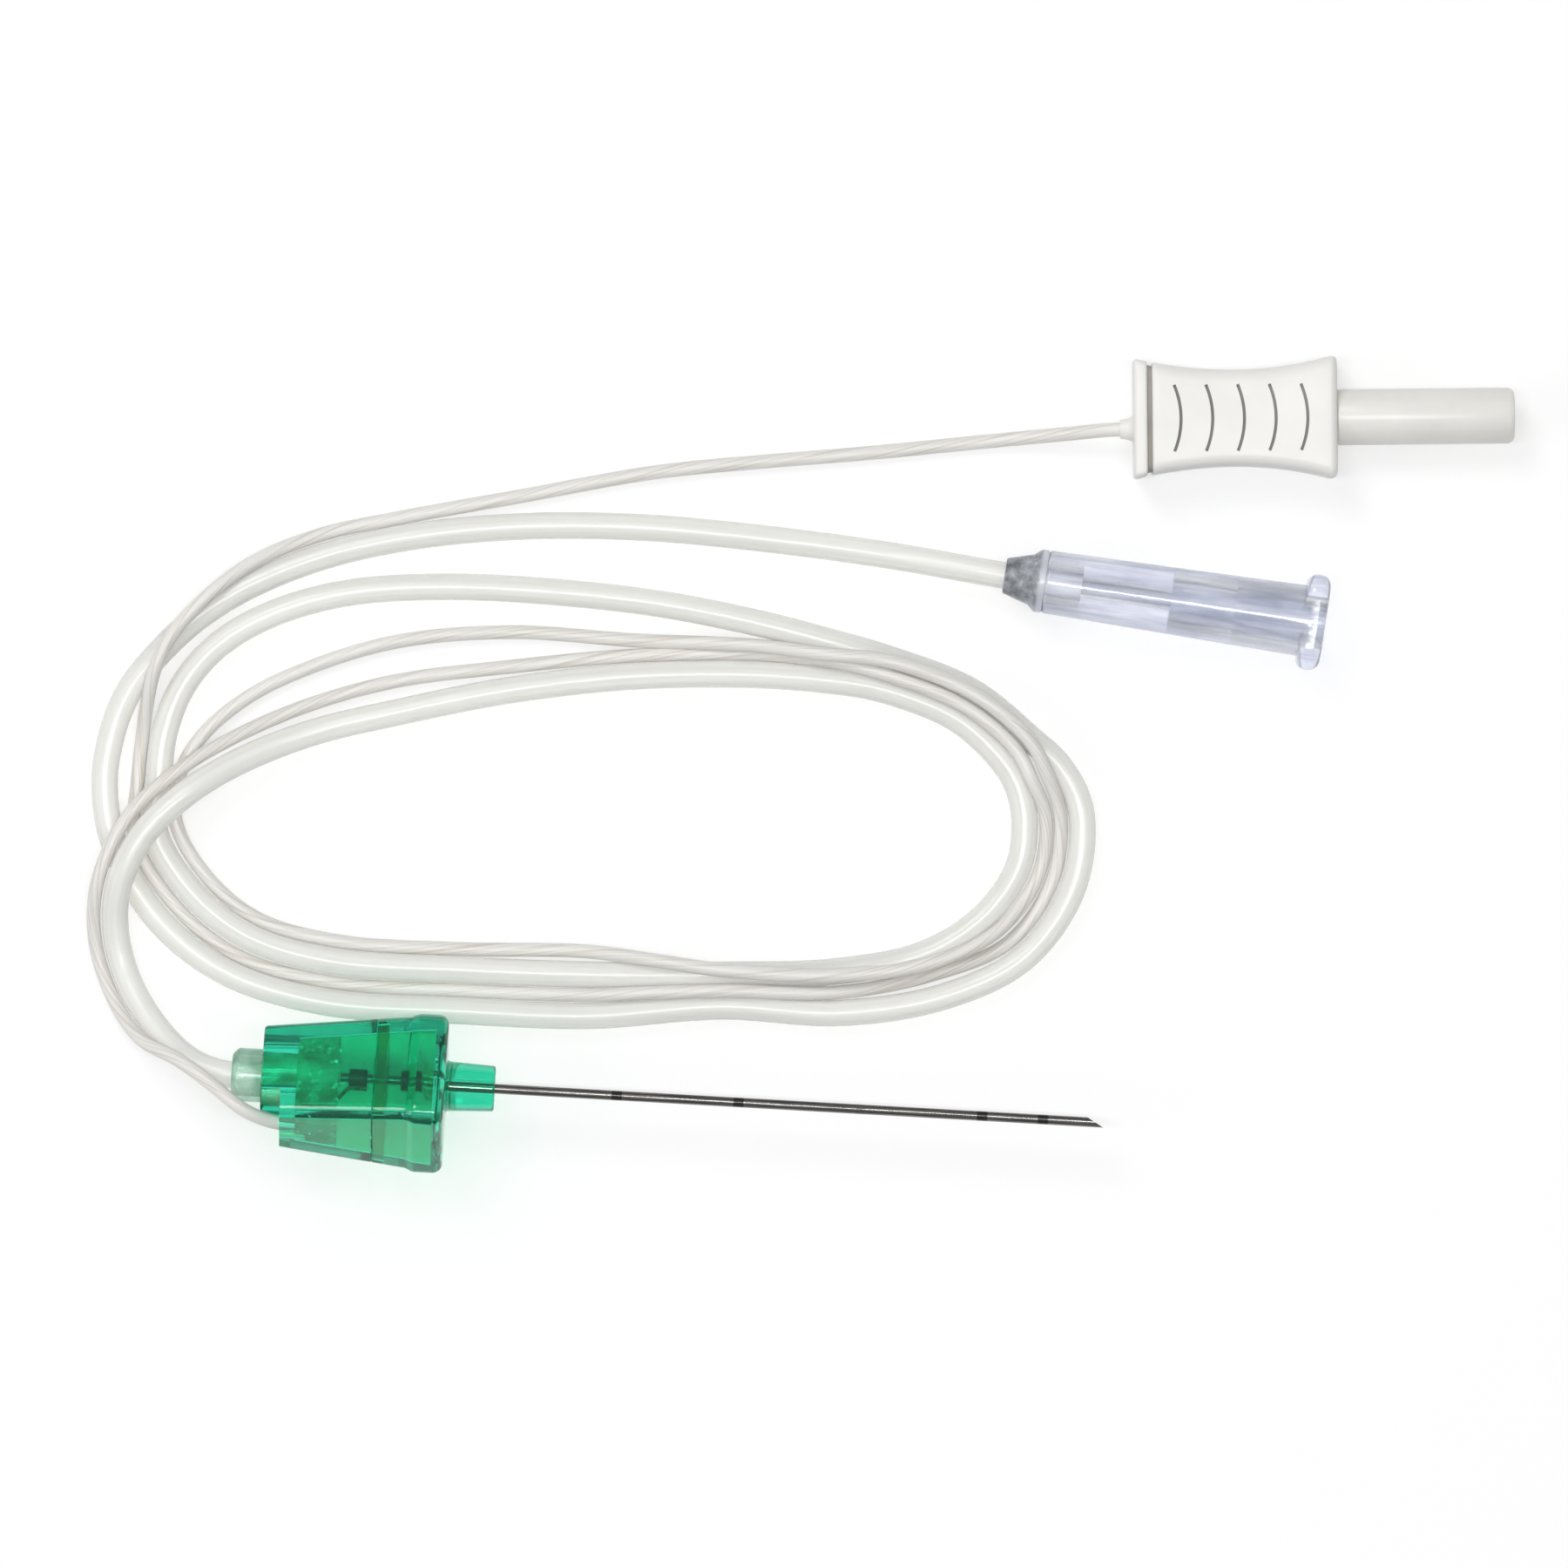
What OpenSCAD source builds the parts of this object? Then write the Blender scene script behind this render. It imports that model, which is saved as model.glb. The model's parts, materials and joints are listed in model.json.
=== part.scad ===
// Insulated-lead nerve block needle: a steel cannula in a see-through hub, with its infusion tube
// and stimulator lead laid in two loose turns. Millimetres, floor at z = 0, needle along +X.

/* [Needle] */
// Length of the needle in front of the hub's nose
needle_length = 50; // [40:1:70]
// Outer diameter of the needle
needle_d = 0.8; // [0.7:0.05:1.0]
// Thickness of the needle's insulating coat
coat_t = 0.02; // [0.01:0.01:0.05]
// Bore of the needle
needle_bore_d = 0.52; // [0.4:0.02:0.6]
// Angle of the short bevel at the tip
bevel_angle = 30; // [20:1:45]

/* [Hub] */
// Turn of the hub about the needle, as it lies on its lower edge
hub_roll = 30; // [20:1:40]
// Width of the hub body at its rear end
hub_rear_w = 8.6; // [8.2:0.1:9.4]
// Height of the hub body at its rear end
hub_rear_h = 5.7; // [5.6:0.1:7]
// Width of the hub body where it meets the flange
hub_front_w = 9.7; // [9.4:0.1:11]
// Height of the hub body where it meets the flange
hub_front_h = 9.7; // [9:0.1:11]
// Radius of the body's long edges
hub_edge_r = 0.9; // [0.6:0.1:1.2]
// Shift of the body towards the lead, off the needle's axis
hub_shift = 0.8; // [0.4:0.1:1]
// Length of the rear housing
rear_length = 9.3; // [8.5:0.1:12]
// Length of the front shell between the joint and the flange
front_length = 3.3; // [2.8:0.1:5]
// Thickness of the shells
shell_wall = 1.2; // [1:0.1:1.4]
// Thickness of the rear housing's end wall
end_wall = 3; // [2.8:0.1:3.4]
// Thickness of the flange
flange_t = 2.5; // [2:0.1:3.5]
// How far the flange stands proud of the body
flange_lip = 0.3; // [0.1:0.1:0.8]
// Radius of the flange's corners
flange_corner_r = 1.4; // [1:0.1:2]
// Length of the nose
nose_length = 4; // [3:0.1:6]
// Diameter of the nose at the flange
nose_root_d = 4.1; // [3.8:0.05:4.6]
// Diameter of the nose at its front face
nose_tip_d = 3.75; // [3.2:0.05:3.8]
// Depth of the notch where the lead enters
notch_depth = 1.7; // [1.2:0.1:1.8]

/* [Gland] */
// Diameter of the clear gland
gland_d = 4.4; // [4:0.1:4.8]
// Length of the gland outside the hub
gland_exposed = 2.5; // [2:0.1:4]

/* [Tube and lead] */
// Outer diameter of the infusion tube
tube_d = 2.2; // [1.8:0.1:2.4]
// Outer diameter of the lead
cable_d = 1.15; // [0.9:0.05:1.3]
// Diameter of the lead's stranded wire
wire_d = 0.4; // [0.3:0.05:0.6]

/* [Luer connector] */
// Length of the connector body without its rear sleeve
luer_body_length = 23.2; // [20:0.2:28]
// Diameter of the body at the mouth
luer_mouth_d = 5.9; // [5.6:0.1:6.4]
// Diameter of the body at the rear
luer_rear_d = 5.2; // [4.8:0.1:5.5]
// Width over the two lugs
luer_lug_w = 7.85; // [7.7:0.05:8.2]
// Thickness of the lugs
luer_lug_t = 1.9; // [1.5:0.1:2.4]
// Diameter of the conical socket at its mouth
luer_socket_d = 4.3; // [4.27:0.01:4.32]
// Depth of the conical socket
luer_cone_depth = 7.5; // [7.5:0.1:9]
// Depth of the whole socket
luer_socket_depth = 12.8; // [11:0.1:14]
// Length of the sleeve round the tube
luer_sleeve_length = 3.4; // [2.8:0.1:5]

/* [Plug] */
// Length of the grip
grip_length = 16.7; // [16:0.1:20]
// Height of the grip at its rear end
grip_rear_h = 9.9; // [9:0.1:11]
// Height of the grip at its waist
grip_waist_h = 7.9; // [7:0.1:8.4]
// Height of the grip at its front end
grip_front_h = 10.3; // [9:0.1:11]
// Thickness of the grip
grip_t = 6; // [5.6:0.1:7]
// Number of finger grooves on each face
groove_count = 5; // [3:1:5]
// Length of a finger groove
groove_length = 5.45; // [4:0.05:6]
// Width of a finger groove
groove_w = 0.25; // [0.2:0.05:0.4]
// Depth of a finger groove
groove_depth = 0.3; // [0.2:0.05:0.5]
// Length of the shroud
shroud_length = 14.6; // [13:0.1:18]
// Outer diameter of the shroud
shroud_d = 4.6; // [4.4:0.1:5.2]
// Bore of the shroud
shroud_bore_d = 3.2; // [3:0.1:3.6]
// Outer diameter of the socket contact
contact_d = 2.2; // [2:0.1:2.6]
// Bore of the socket contact
contact_bore_d = 1.5; // [1.2:0.1:1.5]

/* [Hidden] */
$fn = 48;

// Clearance of pieces that fit into each other
fit = 0.05;
// Gap at the end of a cord that butts on a shoulder
end_gap = 0.02;
// Thickness of the slabs that a hull joins
slab = 0.02;
// Overlap of a cut past the face it opens
cut = 0.5;

// Places along the needle's axis, from the nose's front face
z_flange_front = -nose_length;
z_flange_rear = z_flange_front - flange_t;
z_joint = z_flange_rear - front_length;
z_rear = z_joint - rear_length;
z_gland_rear = z_rear - gland_exposed;
z_end_wall = z_rear + end_wall;

// Where the hub stands: the middle of needle and hub over the origin, its lowest edge on the floor
flange_w = hub_front_w + 2 * flange_lip;
flange_h = hub_front_h + 2 * flange_lip;
half_drop = (flange_w / 2 - flange_corner_r) * sin(hub_roll)
    + (flange_h / 2 - flange_corner_r) * cos(hub_roll) + flange_corner_r;
hub_x = -(needle_length + z_gland_rear) / 2;
axis_y = hub_shift * cos(hub_roll);
axis_z = half_drop - hub_shift * sin(hub_roll);

// Wall between the lead's notch and the gland
notch_wall = 0.65;

// Inside the hub
steel_d = needle_d - 2 * coat_t;
lip_length = 1;
lip_inset = shell_wall / 2;
front_wall = 1;
block_channel = 2;
cannula_start = z_end_wall + block_channel;
block_d = 3.4;
block_length = 3.5;
block_bore_d = 1.1;
potting_length = block_length - 0.1;
sleeve_length = 1.5;
sleeve_gap = 0.6;
sleeve_start = z_joint - sleeve_gap - sleeve_length;
sleeve_d = 1.5;
collar_length = 1.4;
collar_d = 1.7;
boss_length = 1.2;
boss_d = 3;
boss_start = z_flange_front - front_wall - boss_length;

// Where the lead runs in the hub, measured across the body from the needle, and where its insulation ends
lead_in = shell_wall + wire_d / 2 + 3 * fit;
lead_u = lead_in - hub_rear_w / 2 - hub_shift;
lead_v = -1.4;
lead_end = z_end_wall + 0.8;
lead_depth = lead_end - z_rear;
wire_straight = 0.7;

// How far the coil moves with the hub's rear end
coil_x = hub_x + z_gland_rear + 35.8;

// Where the connector and the plug lie, and how they are turned
luer_pos = [coil_x + 25.2, 45.1, luer_mouth_d / 2];
luer_turn = -5.4;
tube_in_luer = 3;
plug_pos = [coil_x + 35.05, 58.5, grip_t / 2];
plug_turn = 3.8;
cable_in_plug = 5;
neck_length = 1.1;
neck_d = 2;
neck_y = -0.8;

// Route of the infusion tube, from the hub to the connector
tube_route = [
    in_hub(z_end_wall), in_hub(z_gland_rear - 0.7), [-39.5, 1.7, 5.2], [-42.6, 4.4, 3.2], [-45, 8, 1.6],
    [-46.2, 12, 1.8], [-46, 16, 3.3], [-44.2, 20, 3.6], [-41, 23.4, 3.5], [-37, 26.2, 2.4],
    [-31, 29, 1.2], [-24, 31.1, 1.1], [-15, 33.4, 1.1], [-5, 35.1, 1.1], [5, 35.8, 1.1],
    [11, 35.7, 1.1], [15.7, 35.2, 1.1], [22, 33.1, 1.1], [26, 29.8, 1.1], [27.3, 27.8, 1.1], [28, 25.2, 1.1],
    [27.7, 21.2, 1.1], [25.1, 17, 1.1], [20.5, 13.7, 1.1], [13.2, 11.8, 1.1], [4, 11, 1.1],
    [-7, 10.4, 1.1], [-18, 10.2, 1.1], [-28.3, 10.3, 1.1], [-35.4, 12, 1.1], [-40.3, 15.5, 1.1],
    [-43.5, 20.3, 1.1], [-43.4, 24.4, 1.1], [-43.1, 28.4, 1.1], [-41.8, 32.3, 1.1], [-39.2, 35.7, 1.1],
    [-35, 38.5, 1.1], [-29, 40.6, 1.1], [-21, 41.6, 1.1], [-12, 41.7, 1.1], [-3, 41.2, 1.1],
    [5, 40.1, 1.1], [11, 38.9, 1.1], [16.2, 37.7, 1.1], [23.1, 35.4, 1.1], [28.1, 31.8, 1.1], [30.7, 29.6, 1.1],
    [32.6, 26.1, 1.1], [32.3, 19.8, 1.1], [28.6, 13.8, 1.1], [22.1, 10.2, 1.1], [13.7, 8.4, 1.1],
    [4, 8.4, 1.1], [-7, 7, 1.1], [-18, 6.8, 1.1], [-28.7, 6.9, 1.1], [-36.9, 8.9, 1.1], [-42.7, 12.9, 1.1],
    [-46.7, 18.9, 1.1], [-47.8, 24, 1.1], [-47.3, 28.5, 1.1], [-46.2, 31.6, 1.1], [-44.3, 34.4, 1.1],
    [-41.2, 37.7, 1.1], [-37, 40.7, 1.1], [-31, 43.5, 1.1], [-24, 45.5, 1.1], [-15, 46.9, 1.1],
    [-5, 47.4, 1.1], [6, 47, 1.1], [16, 46.2, 1.6], luer_pos,
    luer_pos + (luer_sleeve_length + tube_in_luer - end_gap) * [cos(luer_turn), sin(luer_turn), 0]
];

// Route of the lead, from the hub's notch to the plug
cable_route = [
    in_hub(lead_end, lead_u, lead_v), in_hub(z_rear + notch_depth - 0.2, lead_u, lead_v),
    [-34.5, -2.2, 8], [-37.2, -0.3, 8],
    [-40.2, 1.6, 6.8], [-43.6, 3.2, 4.4], [-46.4, 6.9, 1.6], [-47.9, 11.3, 1.5], [-47.8, 16, 2.9],
    [-45.7, 21.2, 3.1], [-42.1, 25, 3.1], [-37.8, 28, 2], [-31.8, 31.1, 0.8], [-24.5, 33.6, 0.6],
    [-15.3, 35.3, 0.6], [-5.1, 36.8, 0.6], [5, 37.5, 0.6], [11, 37.3, 2], [16, 36.4, 2.4], [22.5, 34.2, 2.5],
    [27, 30.8, 2.3], [28.4, 28.4, 2.3], [29.7, 25.6, 1.4], [29.4, 20.7, 0.7], [26.3, 15.9, 1.9],
    [20.8, 12.9, 2.7], [13.3, 11.5, 2.9], [4, 11.4, 2.8], [-2, 11.9, 2.5], [-7.5, 12.3, 0.9],
    [-18, 11.9, 0.6], [-28.1, 12, 0.6], [-34.7, 13.5, 0.6], [-39.1, 16.8, 0.6], [-41.8, 21.1, 0.6],
    [-41.6, 25.2, 0.6], [-39.9, 28.4, 0.6], [-36.2, 31.8, 0.6], [-30.5, 34.8, 0.6], [-24, 37, 0.6],
    [-15, 38.2, 0.6], [-5, 38.1, 0.6], [5, 38.2, 1.8], [11, 37.8, 3.2], [16.2, 37.5, 3.1], [23.1, 35.3, 3.1],
    [28, 31.7, 3], [29.6, 29, 2.4], [30.9, 25.8, 1.4], [30.6, 20.3, 0.6], [27.3, 15, 0.6],
    [21.2, 12, 0.6], [13.4, 10.1, 1.6], [4, 9.7, 2.4], [-2, 9.2, 2.1], [-7.5, 8.7, 1.6], [-18, 8.5, 0.6],
    [-28.5, 8.6, 0.6], [-36.2, 10.4, 0.6], [-41.5, 14.2, 0.6], [-45.1, 19.6, 0.6], [-45.1, 24.2, 0.6],
    [-44.9, 28.2, 0.7], [-44.6, 31, 1.9], [-44.1, 33.6, 2.9], [-42.9, 36.4, 2.9], [-40.2, 39.7, 2.7],
    [-36.5, 42.8, 1.8], [-31, 45.4, 0.8], [-25.5, 46.9, 0.6], [-15, 49.4, 0.6], [-4, 52, 0.6],
    [5, 53.4, 0.6], [13.7, 54.6, 0.6], [24, 56.2, 0.7], [29.5, 57, 1.8],
    in_plug(-neck_length), in_plug(cable_in_plug - end_gap)
];

// Route of the bare wire, from the end of the insulation to the contact sleeve
wire_u = -(sleeve_d + wire_d + fit) / 2;
wire_route = [
    in_hub(lead_end, lead_u, lead_v), in_hub(lead_end + wire_straight, lead_u, lead_v),
    (in_hub(lead_end + wire_straight, lead_u, lead_v) + in_hub(sleeve_start, wire_u)) / 2,
    in_hub(sleeve_start, wire_u), in_hub(sleeve_start + sleeve_length - end_gap, wire_u)
];

// A point in the hub: its place along the needle and its distances across the body from the needle
function in_hub(z, u = 0, v = 0) = [hub_x + z, axis_y + u * cos(hub_roll) + v * sin(hub_roll),
    axis_z - u * sin(hub_roll) + v * cos(hub_roll)];

// A route whose typed middle has moved with the hub, while its first two points and its last two are worked out
function laid(route) = [for (i = [0:len(route) - 1])
    route[i] + (i < 2 || i > len(route) - 3 ? [0, 0, 0] : [coil_x, 0, 0])];

// A point on the line where the lead runs into the plug
function in_plug(x) = plug_pos
    + [x * cos(plug_turn) - neck_y * sin(plug_turn), x * sin(plug_turn) + neck_y * cos(plug_turn), 0];

function unit(v) = v / norm(v);

// Direction of a route at one of its points
function heading(route, i) = unit(
    (i > 0 ? unit(route[i] - route[i - 1]) : [0, 0, 0])
    + (i < len(route) - 1 ? unit(route[i + 1] - route[i]) : [0, 0, 0]));

// Ring of points round a route at one of its points
function ring(route, i, d, sides) =
    let (t = heading(route, i), side = unit(cross(t, [0, 0, 1])), up = cross(side, t))
    [for (k = [0:sides - 1]) let (a = (k + 0.5) * 360 / sides) route[i] + d / 2 * (cos(a) * side + sin(a) * up)];

// Tube of round section swept along a route
module swept(route, d, sides = 8) {
    rings = len(route);
    points = [for (i = [0:rings - 1]) each ring(route, i, d, sides)];
    walls = [for (i = [0:rings - 2], k = [0:sides - 1])
        [i * sides + k, i * sides + (k + 1) % sides, (i + 1) * sides + (k + 1) % sides, (i + 1) * sides + k]];
    rear_end = [for (k = [sides - 1:-1:0]) k];
    front_end = [for (k = [0:sides - 1]) (rings - 1) * sides + k];
    polyhedron(points, concat([rear_end], walls, [front_end]), convexity = 10);
}

// Puts a piece that is drawn along +Z from the nose's front face onto the needle's axis
module on_axis(roll = hub_roll) {
    translate([hub_x, axis_y, axis_z]) rotate([-roll, 0, 0]) rotate([0, 90, 0]) children();
}

// Width and height of the hub's body at a place along it
function body_size(z) = let (t = (z - z_rear) / (z_flange_rear - z_rear))
    [hub_rear_h + t * (hub_front_h - hub_rear_h), hub_rear_w + t * (hub_front_w - hub_rear_w)];

// Four posts at the corners of one section of the body
module corner_posts(size, r, z, h) {
    for (sx = [-1, 1], sy = [-1, 1])
        translate([sx * (size.x / 2 - r), sy * (size.y / 2 - r) - hub_shift, z]) cylinder(r = r, h = h, $fn = 32);
}

// Flared four-sided form of the hub between two places, drawn in by an inset
module body_form(z0, z1, inset = 0) {
    r = max(hub_edge_r - inset, 0.3);
    hull() {
        corner_posts(body_size(z0) - 2 * [inset, inset], r, z0, slab);
        corner_posts(body_size(z1) - 2 * [inset, inset], r, z1 - slab, slab);
    }
}

// Steel needle with its bore and short bevel; its coat begins behind the nose, where it thins out
module cannula() {
    reach = needle_d / tan(bevel_angle);
    color("silver") on_axis(0) difference() {
        union() {
            translate([0, 0, cannula_start]) cylinder(d = steel_d, h = boss_start - cannula_start + slab);
            translate([0, 0, boss_start]) cylinder(d1 = steel_d, d2 = needle_d, h = -boss_start);
            cylinder(d = needle_d, h = needle_length);
        }
        translate([0, 0, cannula_start - cut])
            cylinder(d = needle_bore_d, h = needle_length - cannula_start + 2 * cut);
        translate([-needle_d, needle_d / 2, needle_length - reach]) rotate([bevel_angle, 0, 0])
            cube([2 * needle_d, needle_d, 2 * reach + needle_d]);
    }
}

// Front half of the hub: short skirt, flange and nose in one moulding
module front_shell() {
    color("mediumseagreen", 0.7) on_axis() difference() {
        union() {
            body_form(z_joint, z_flange_rear + slab);
            hull() {
                corner_posts([flange_h, flange_w], flange_corner_r, z_flange_rear, slab);
                corner_posts([flange_h, flange_w], flange_corner_r, z_flange_front - slab, slab);
            }
            translate([0, 0, z_flange_front - slab])
                cylinder(d1 = nose_root_d, d2 = nose_tip_d, h = nose_length + slab);
        }
        difference() {
            body_form(z_joint - cut, z_flange_front - front_wall, shell_wall);
            translate([0, 0, boss_start]) cylinder(d = boss_d, h = boss_length + cut);
        }
        body_form(z_joint - cut, z_joint + lip_length + fit, lip_inset);
        translate([0, 0, boss_start - cut]) cylinder(d = needle_d + fit / 2, h = cut - boss_start + cut);
    }
}

// Rear half of the hub, with the gland's bore, the lead's notch and the lip that enters the front half
module rear_housing() {
    color("mediumseagreen", 0.7) difference() {
        on_axis() difference() {
            union() {
                body_form(z_rear, z_joint);
                body_form(z_joint - lip_length, z_joint + lip_length, lip_inset + fit);
            }
            body_form(z_end_wall, z_joint + lip_length + cut, shell_wall);
            translate([0, 0, z_rear - cut]) cylinder(d = gland_d + fit, h = end_wall + 2 * cut);
            translate([-hub_rear_h, -hub_rear_w, z_rear - cut])
                cube([2 * hub_rear_h, hub_rear_w - gland_d / 2 - notch_wall, notch_depth + cut]);
        }
        translate(in_hub(z_rear, lead_u, lead_v)) rotate([0, 90, 0])
            cylinder(d = cable_d + fit, h = lead_depth + fit);
    }
}

// Clear bush that grips the tube in the rear housing's end wall
module tube_gland() {
    chamfer = 0.5;
    color("honeydew", 0.6) on_axis(0) rotate_extrude() polygon([
        [tube_d / 2 + fit, z_gland_rear], [gland_d / 2 - chamfer, z_gland_rear],
        [gland_d / 2, z_gland_rear + chamfer], [gland_d / 2, z_end_wall], [tube_d / 2 + fit, z_end_wall]]);
}

// Turned block that leads the fluid from the tube into the needle
module flow_block() {
    socket = block_length - block_channel;
    chamfer = 0.6;
    color("whitesmoke", 0.6) on_axis(0) rotate_extrude() polygon([
        [block_bore_d / 2, z_end_wall], [block_d / 2, z_end_wall],
        [block_d / 2, z_end_wall + block_length - chamfer],
        [block_d / 2 - chamfer, z_end_wall + block_length],
        [steel_d / 2 + fit / 4, z_end_wall + block_length],
        [steel_d / 2 + fit / 4, z_end_wall + block_length - socket],
        [block_bore_d / 2, z_end_wall + block_length - socket]]);
}

// Crimped metal sleeve that joins the lead's wire to the needle
module contact_sleeve() {
    color("dimgray") on_axis(0) translate([0, 0, sleeve_start]) difference() {
        cylinder(d = sleeve_d, h = sleeve_length);
        translate([0, 0, -cut]) cylinder(d = steel_d + fit / 2, h = sleeve_length + 2 * cut);
    }
}

// Collar that holds the needle against the front shell's boss
module stop_collar() {
    color("dimgray") on_axis(0) translate([0, 0, boss_start - collar_length]) difference() {
        cylinder(d = collar_d, h = collar_length);
        translate([0, 0, -cut]) cylinder(d = steel_d + fit / 2, h = collar_length + 2 * cut);
    }
}

// Bare stranded wire inside the hub
module lead_conductor() {
    color("peru") swept(wire_route, wire_d, 6);
}

// Clear adhesive that locks the tube's block and the lead into the rear housing
module potting() {
    color("palegreen", 0.5) difference() {
        on_axis() difference() {
            body_form(z_end_wall, z_end_wall + potting_length, shell_wall + fit);
            translate([0, 0, z_end_wall - cut]) cylinder(d = block_d + fit, h = block_length + 2 * cut);
        }
        translate(in_hub(z_end_wall - cut, lead_u, lead_v)) rotate([0, 90, 0])
            cylinder(d = cable_d + fit, h = lead_end - z_end_wall + 2 * cut);
        swept(wire_route, wire_d + 2 * fit, 6);
    }
}

// Clear tube that carries the fluid
module infusion_tube() {
    color("gainsboro", 0.8) swept(laid(tube_route), tube_d);
}

// White lead that carries the stimulation current
module lead_cable() {
    color("white") swept(laid(cable_route), cable_d);
}

// Puts a piece that is drawn along +Z from the sleeve's rear face onto the connector's axis
module on_luer() {
    translate(luer_pos) rotate([0, 0, luer_turn]) rotate([0, 90, 0]) children();
}

// Tapered sleeve that seals the tube to the connector
module luer_sleeve() {
    rib = 0.6;
    color("darkgray", 0.8) on_luer() rotate_extrude() polygon([
        [tube_d / 2 + fit, 0], [tube_d / 2 + 0.35, 0], [luer_rear_d / 2 - 0.5, luer_sleeve_length - 2 * rib],
        [luer_rear_d / 2, luer_sleeve_length - rib], [luer_rear_d / 2, luer_sleeve_length],
        [tube_d / 2 + fit, luer_sleeve_length]]);
}

// Female connector with two lugs and a conical socket
module luer_body() {
    end = luer_sleeve_length + luer_body_length;
    bottom = end - luer_socket_depth;
    cone_end = end - luer_cone_depth;
    tube_end = luer_sleeve_length + tube_in_luer;
    taper = 0.06;
    socket_r = luer_socket_d / 2;
    cone_r = socket_r - taper / 2 * luer_cone_depth;
    relief_r = cone_r - 0.2;
    channel_r = tube_d / 4;
    color("lavender", 0.7) on_luer() difference() {
        union() {
            translate([0, 0, luer_sleeve_length]) cylinder(d1 = luer_rear_d, d2 = luer_mouth_d, h = luer_body_length);
            intersection() {
                translate([0, 0, end - luer_lug_t]) cylinder(d = luer_lug_w, h = luer_lug_t);
                translate([-luer_mouth_d / 2, -luer_lug_w, end - luer_lug_t])
                    cube([luer_mouth_d, 2 * luer_lug_w, luer_lug_t]);
            }
        }
        rotate_extrude() polygon([
            [0, luer_sleeve_length - cut], [tube_d / 2 + fit, luer_sleeve_length - cut],
            [tube_d / 2 + fit, tube_end], [channel_r, tube_end], [channel_r, bottom], [relief_r, bottom],
            [relief_r, cone_end], [cone_r, cone_end], [socket_r, end], [socket_r, end + cut], [0, end + cut]]);
    }
}

// Puts a piece that is drawn along +X from the grip's rear face onto the plug's axis
module on_plug() {
    translate(plug_pos) rotate([0, 0, plug_turn]) children();
}

// Half height of the grip at a place along it, from 0 at the rear to 1 at the front
function grip_half(t) = grip_waist_h / 2
    + (t < 0.5 ? grip_rear_h - grip_waist_h : grip_front_h - grip_waist_h) / 2 * pow(abs(2 * t - 1), 2);

// Finger grip of the plug, waisted, with curved grooves on both faces
module plug_grip() {
    steps = 16;
    plate_t = 1.1;
    recess_w = 0.4;
    recess_d = 0.4;
    sag = 0.55;
    groove_r = (pow(groove_length, 2) / 4 + pow(sag, 2)) / (2 * sag);
    groove_turn = asin(groove_length / 2 / groove_r);
    pitch = 2.6;
    first = 3.3;
    contact_seat = 4;
    color("whitesmoke") on_plug() difference() {
        union() {
            translate([0, 0, -grip_t / 2]) linear_extrude(height = grip_t) polygon(concat(
                [for (i = [0:steps]) [grip_length * i / steps, grip_half(i / steps)]],
                [for (i = [steps:-1:0]) [grip_length * i / steps, -grip_half(i / steps)]]));
            translate([-neck_length, neck_y, 0]) rotate([0, 90, 0])
                cylinder(d1 = cable_d + 0.4, d2 = neck_d, h = neck_length + fit);
        }
        for (side = [-1, 1]) {
            translate([plate_t, -grip_rear_h, side * grip_t / 2 - recess_d])
                cube([recess_w, 2 * grip_rear_h, 2 * recess_d]);
            for (i = [0:groove_count - 1])
                translate([first + pitch * i - groove_r + sag, 0, side * grip_t / 2 - groove_depth])
                    rotate([0, 0, -groove_turn]) rotate_extrude(angle = 2 * groove_turn)
                        translate([groove_r - groove_w / 2, 0]) square([groove_w, 2 * groove_depth]);
        }
        translate([-neck_length - cut, neck_y, 0]) rotate([0, 90, 0])
            cylinder(d = cable_d + fit, h = neck_length + cut + cable_in_plug);
        translate([grip_length - contact_seat, 0, 0]) rotate([0, 90, 0])
            cylinder(d = contact_d + fit, h = contact_seat + cut);
    }
}

// Insulating shroud round the plug's contact
module plug_shroud() {
    round_r = 0.5;
    floor_t = 1;
    color("gainsboro") on_plug() translate([grip_length, 0, 0]) rotate([0, 90, 0]) difference() {
        union() {
            cylinder(d = shroud_d, h = shroud_length - round_r);
            translate([0, 0, shroud_length - round_r])
                cylinder(d1 = shroud_d, d2 = shroud_d - round_r, h = round_r);
        }
        translate([0, 0, floor_t]) cylinder(d = shroud_bore_d, h = shroud_length);
        translate([0, 0, -cut]) cylinder(d = contact_d + fit, h = floor_t + 2 * cut);
    }
}

// Turned brass socket inside the shroud
module plug_contact() {
    seat = 4;
    reach = 12;
    bore_depth = 9;
    color("goldenrod") on_plug() translate([grip_length - seat, 0, 0]) rotate([0, 90, 0]) difference() {
        cylinder(d = contact_d, h = seat + reach);
        translate([0, 0, seat + reach - bore_depth]) cylinder(d = contact_bore_d, h = bore_depth + cut);
    }
}

cannula();
front_shell();
rear_housing();
tube_gland();
flow_block();
contact_sleeve();
stop_collar();
lead_conductor();
potting();
infusion_tube();
lead_cable();
luer_sleeve();
luer_body();
plug_grip();
plug_shroud();
plug_contact();
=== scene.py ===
"""Looks of a nerve block needle set: its see-through hub, steel, soft cords and plugs, stage, light and camera."""

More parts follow.
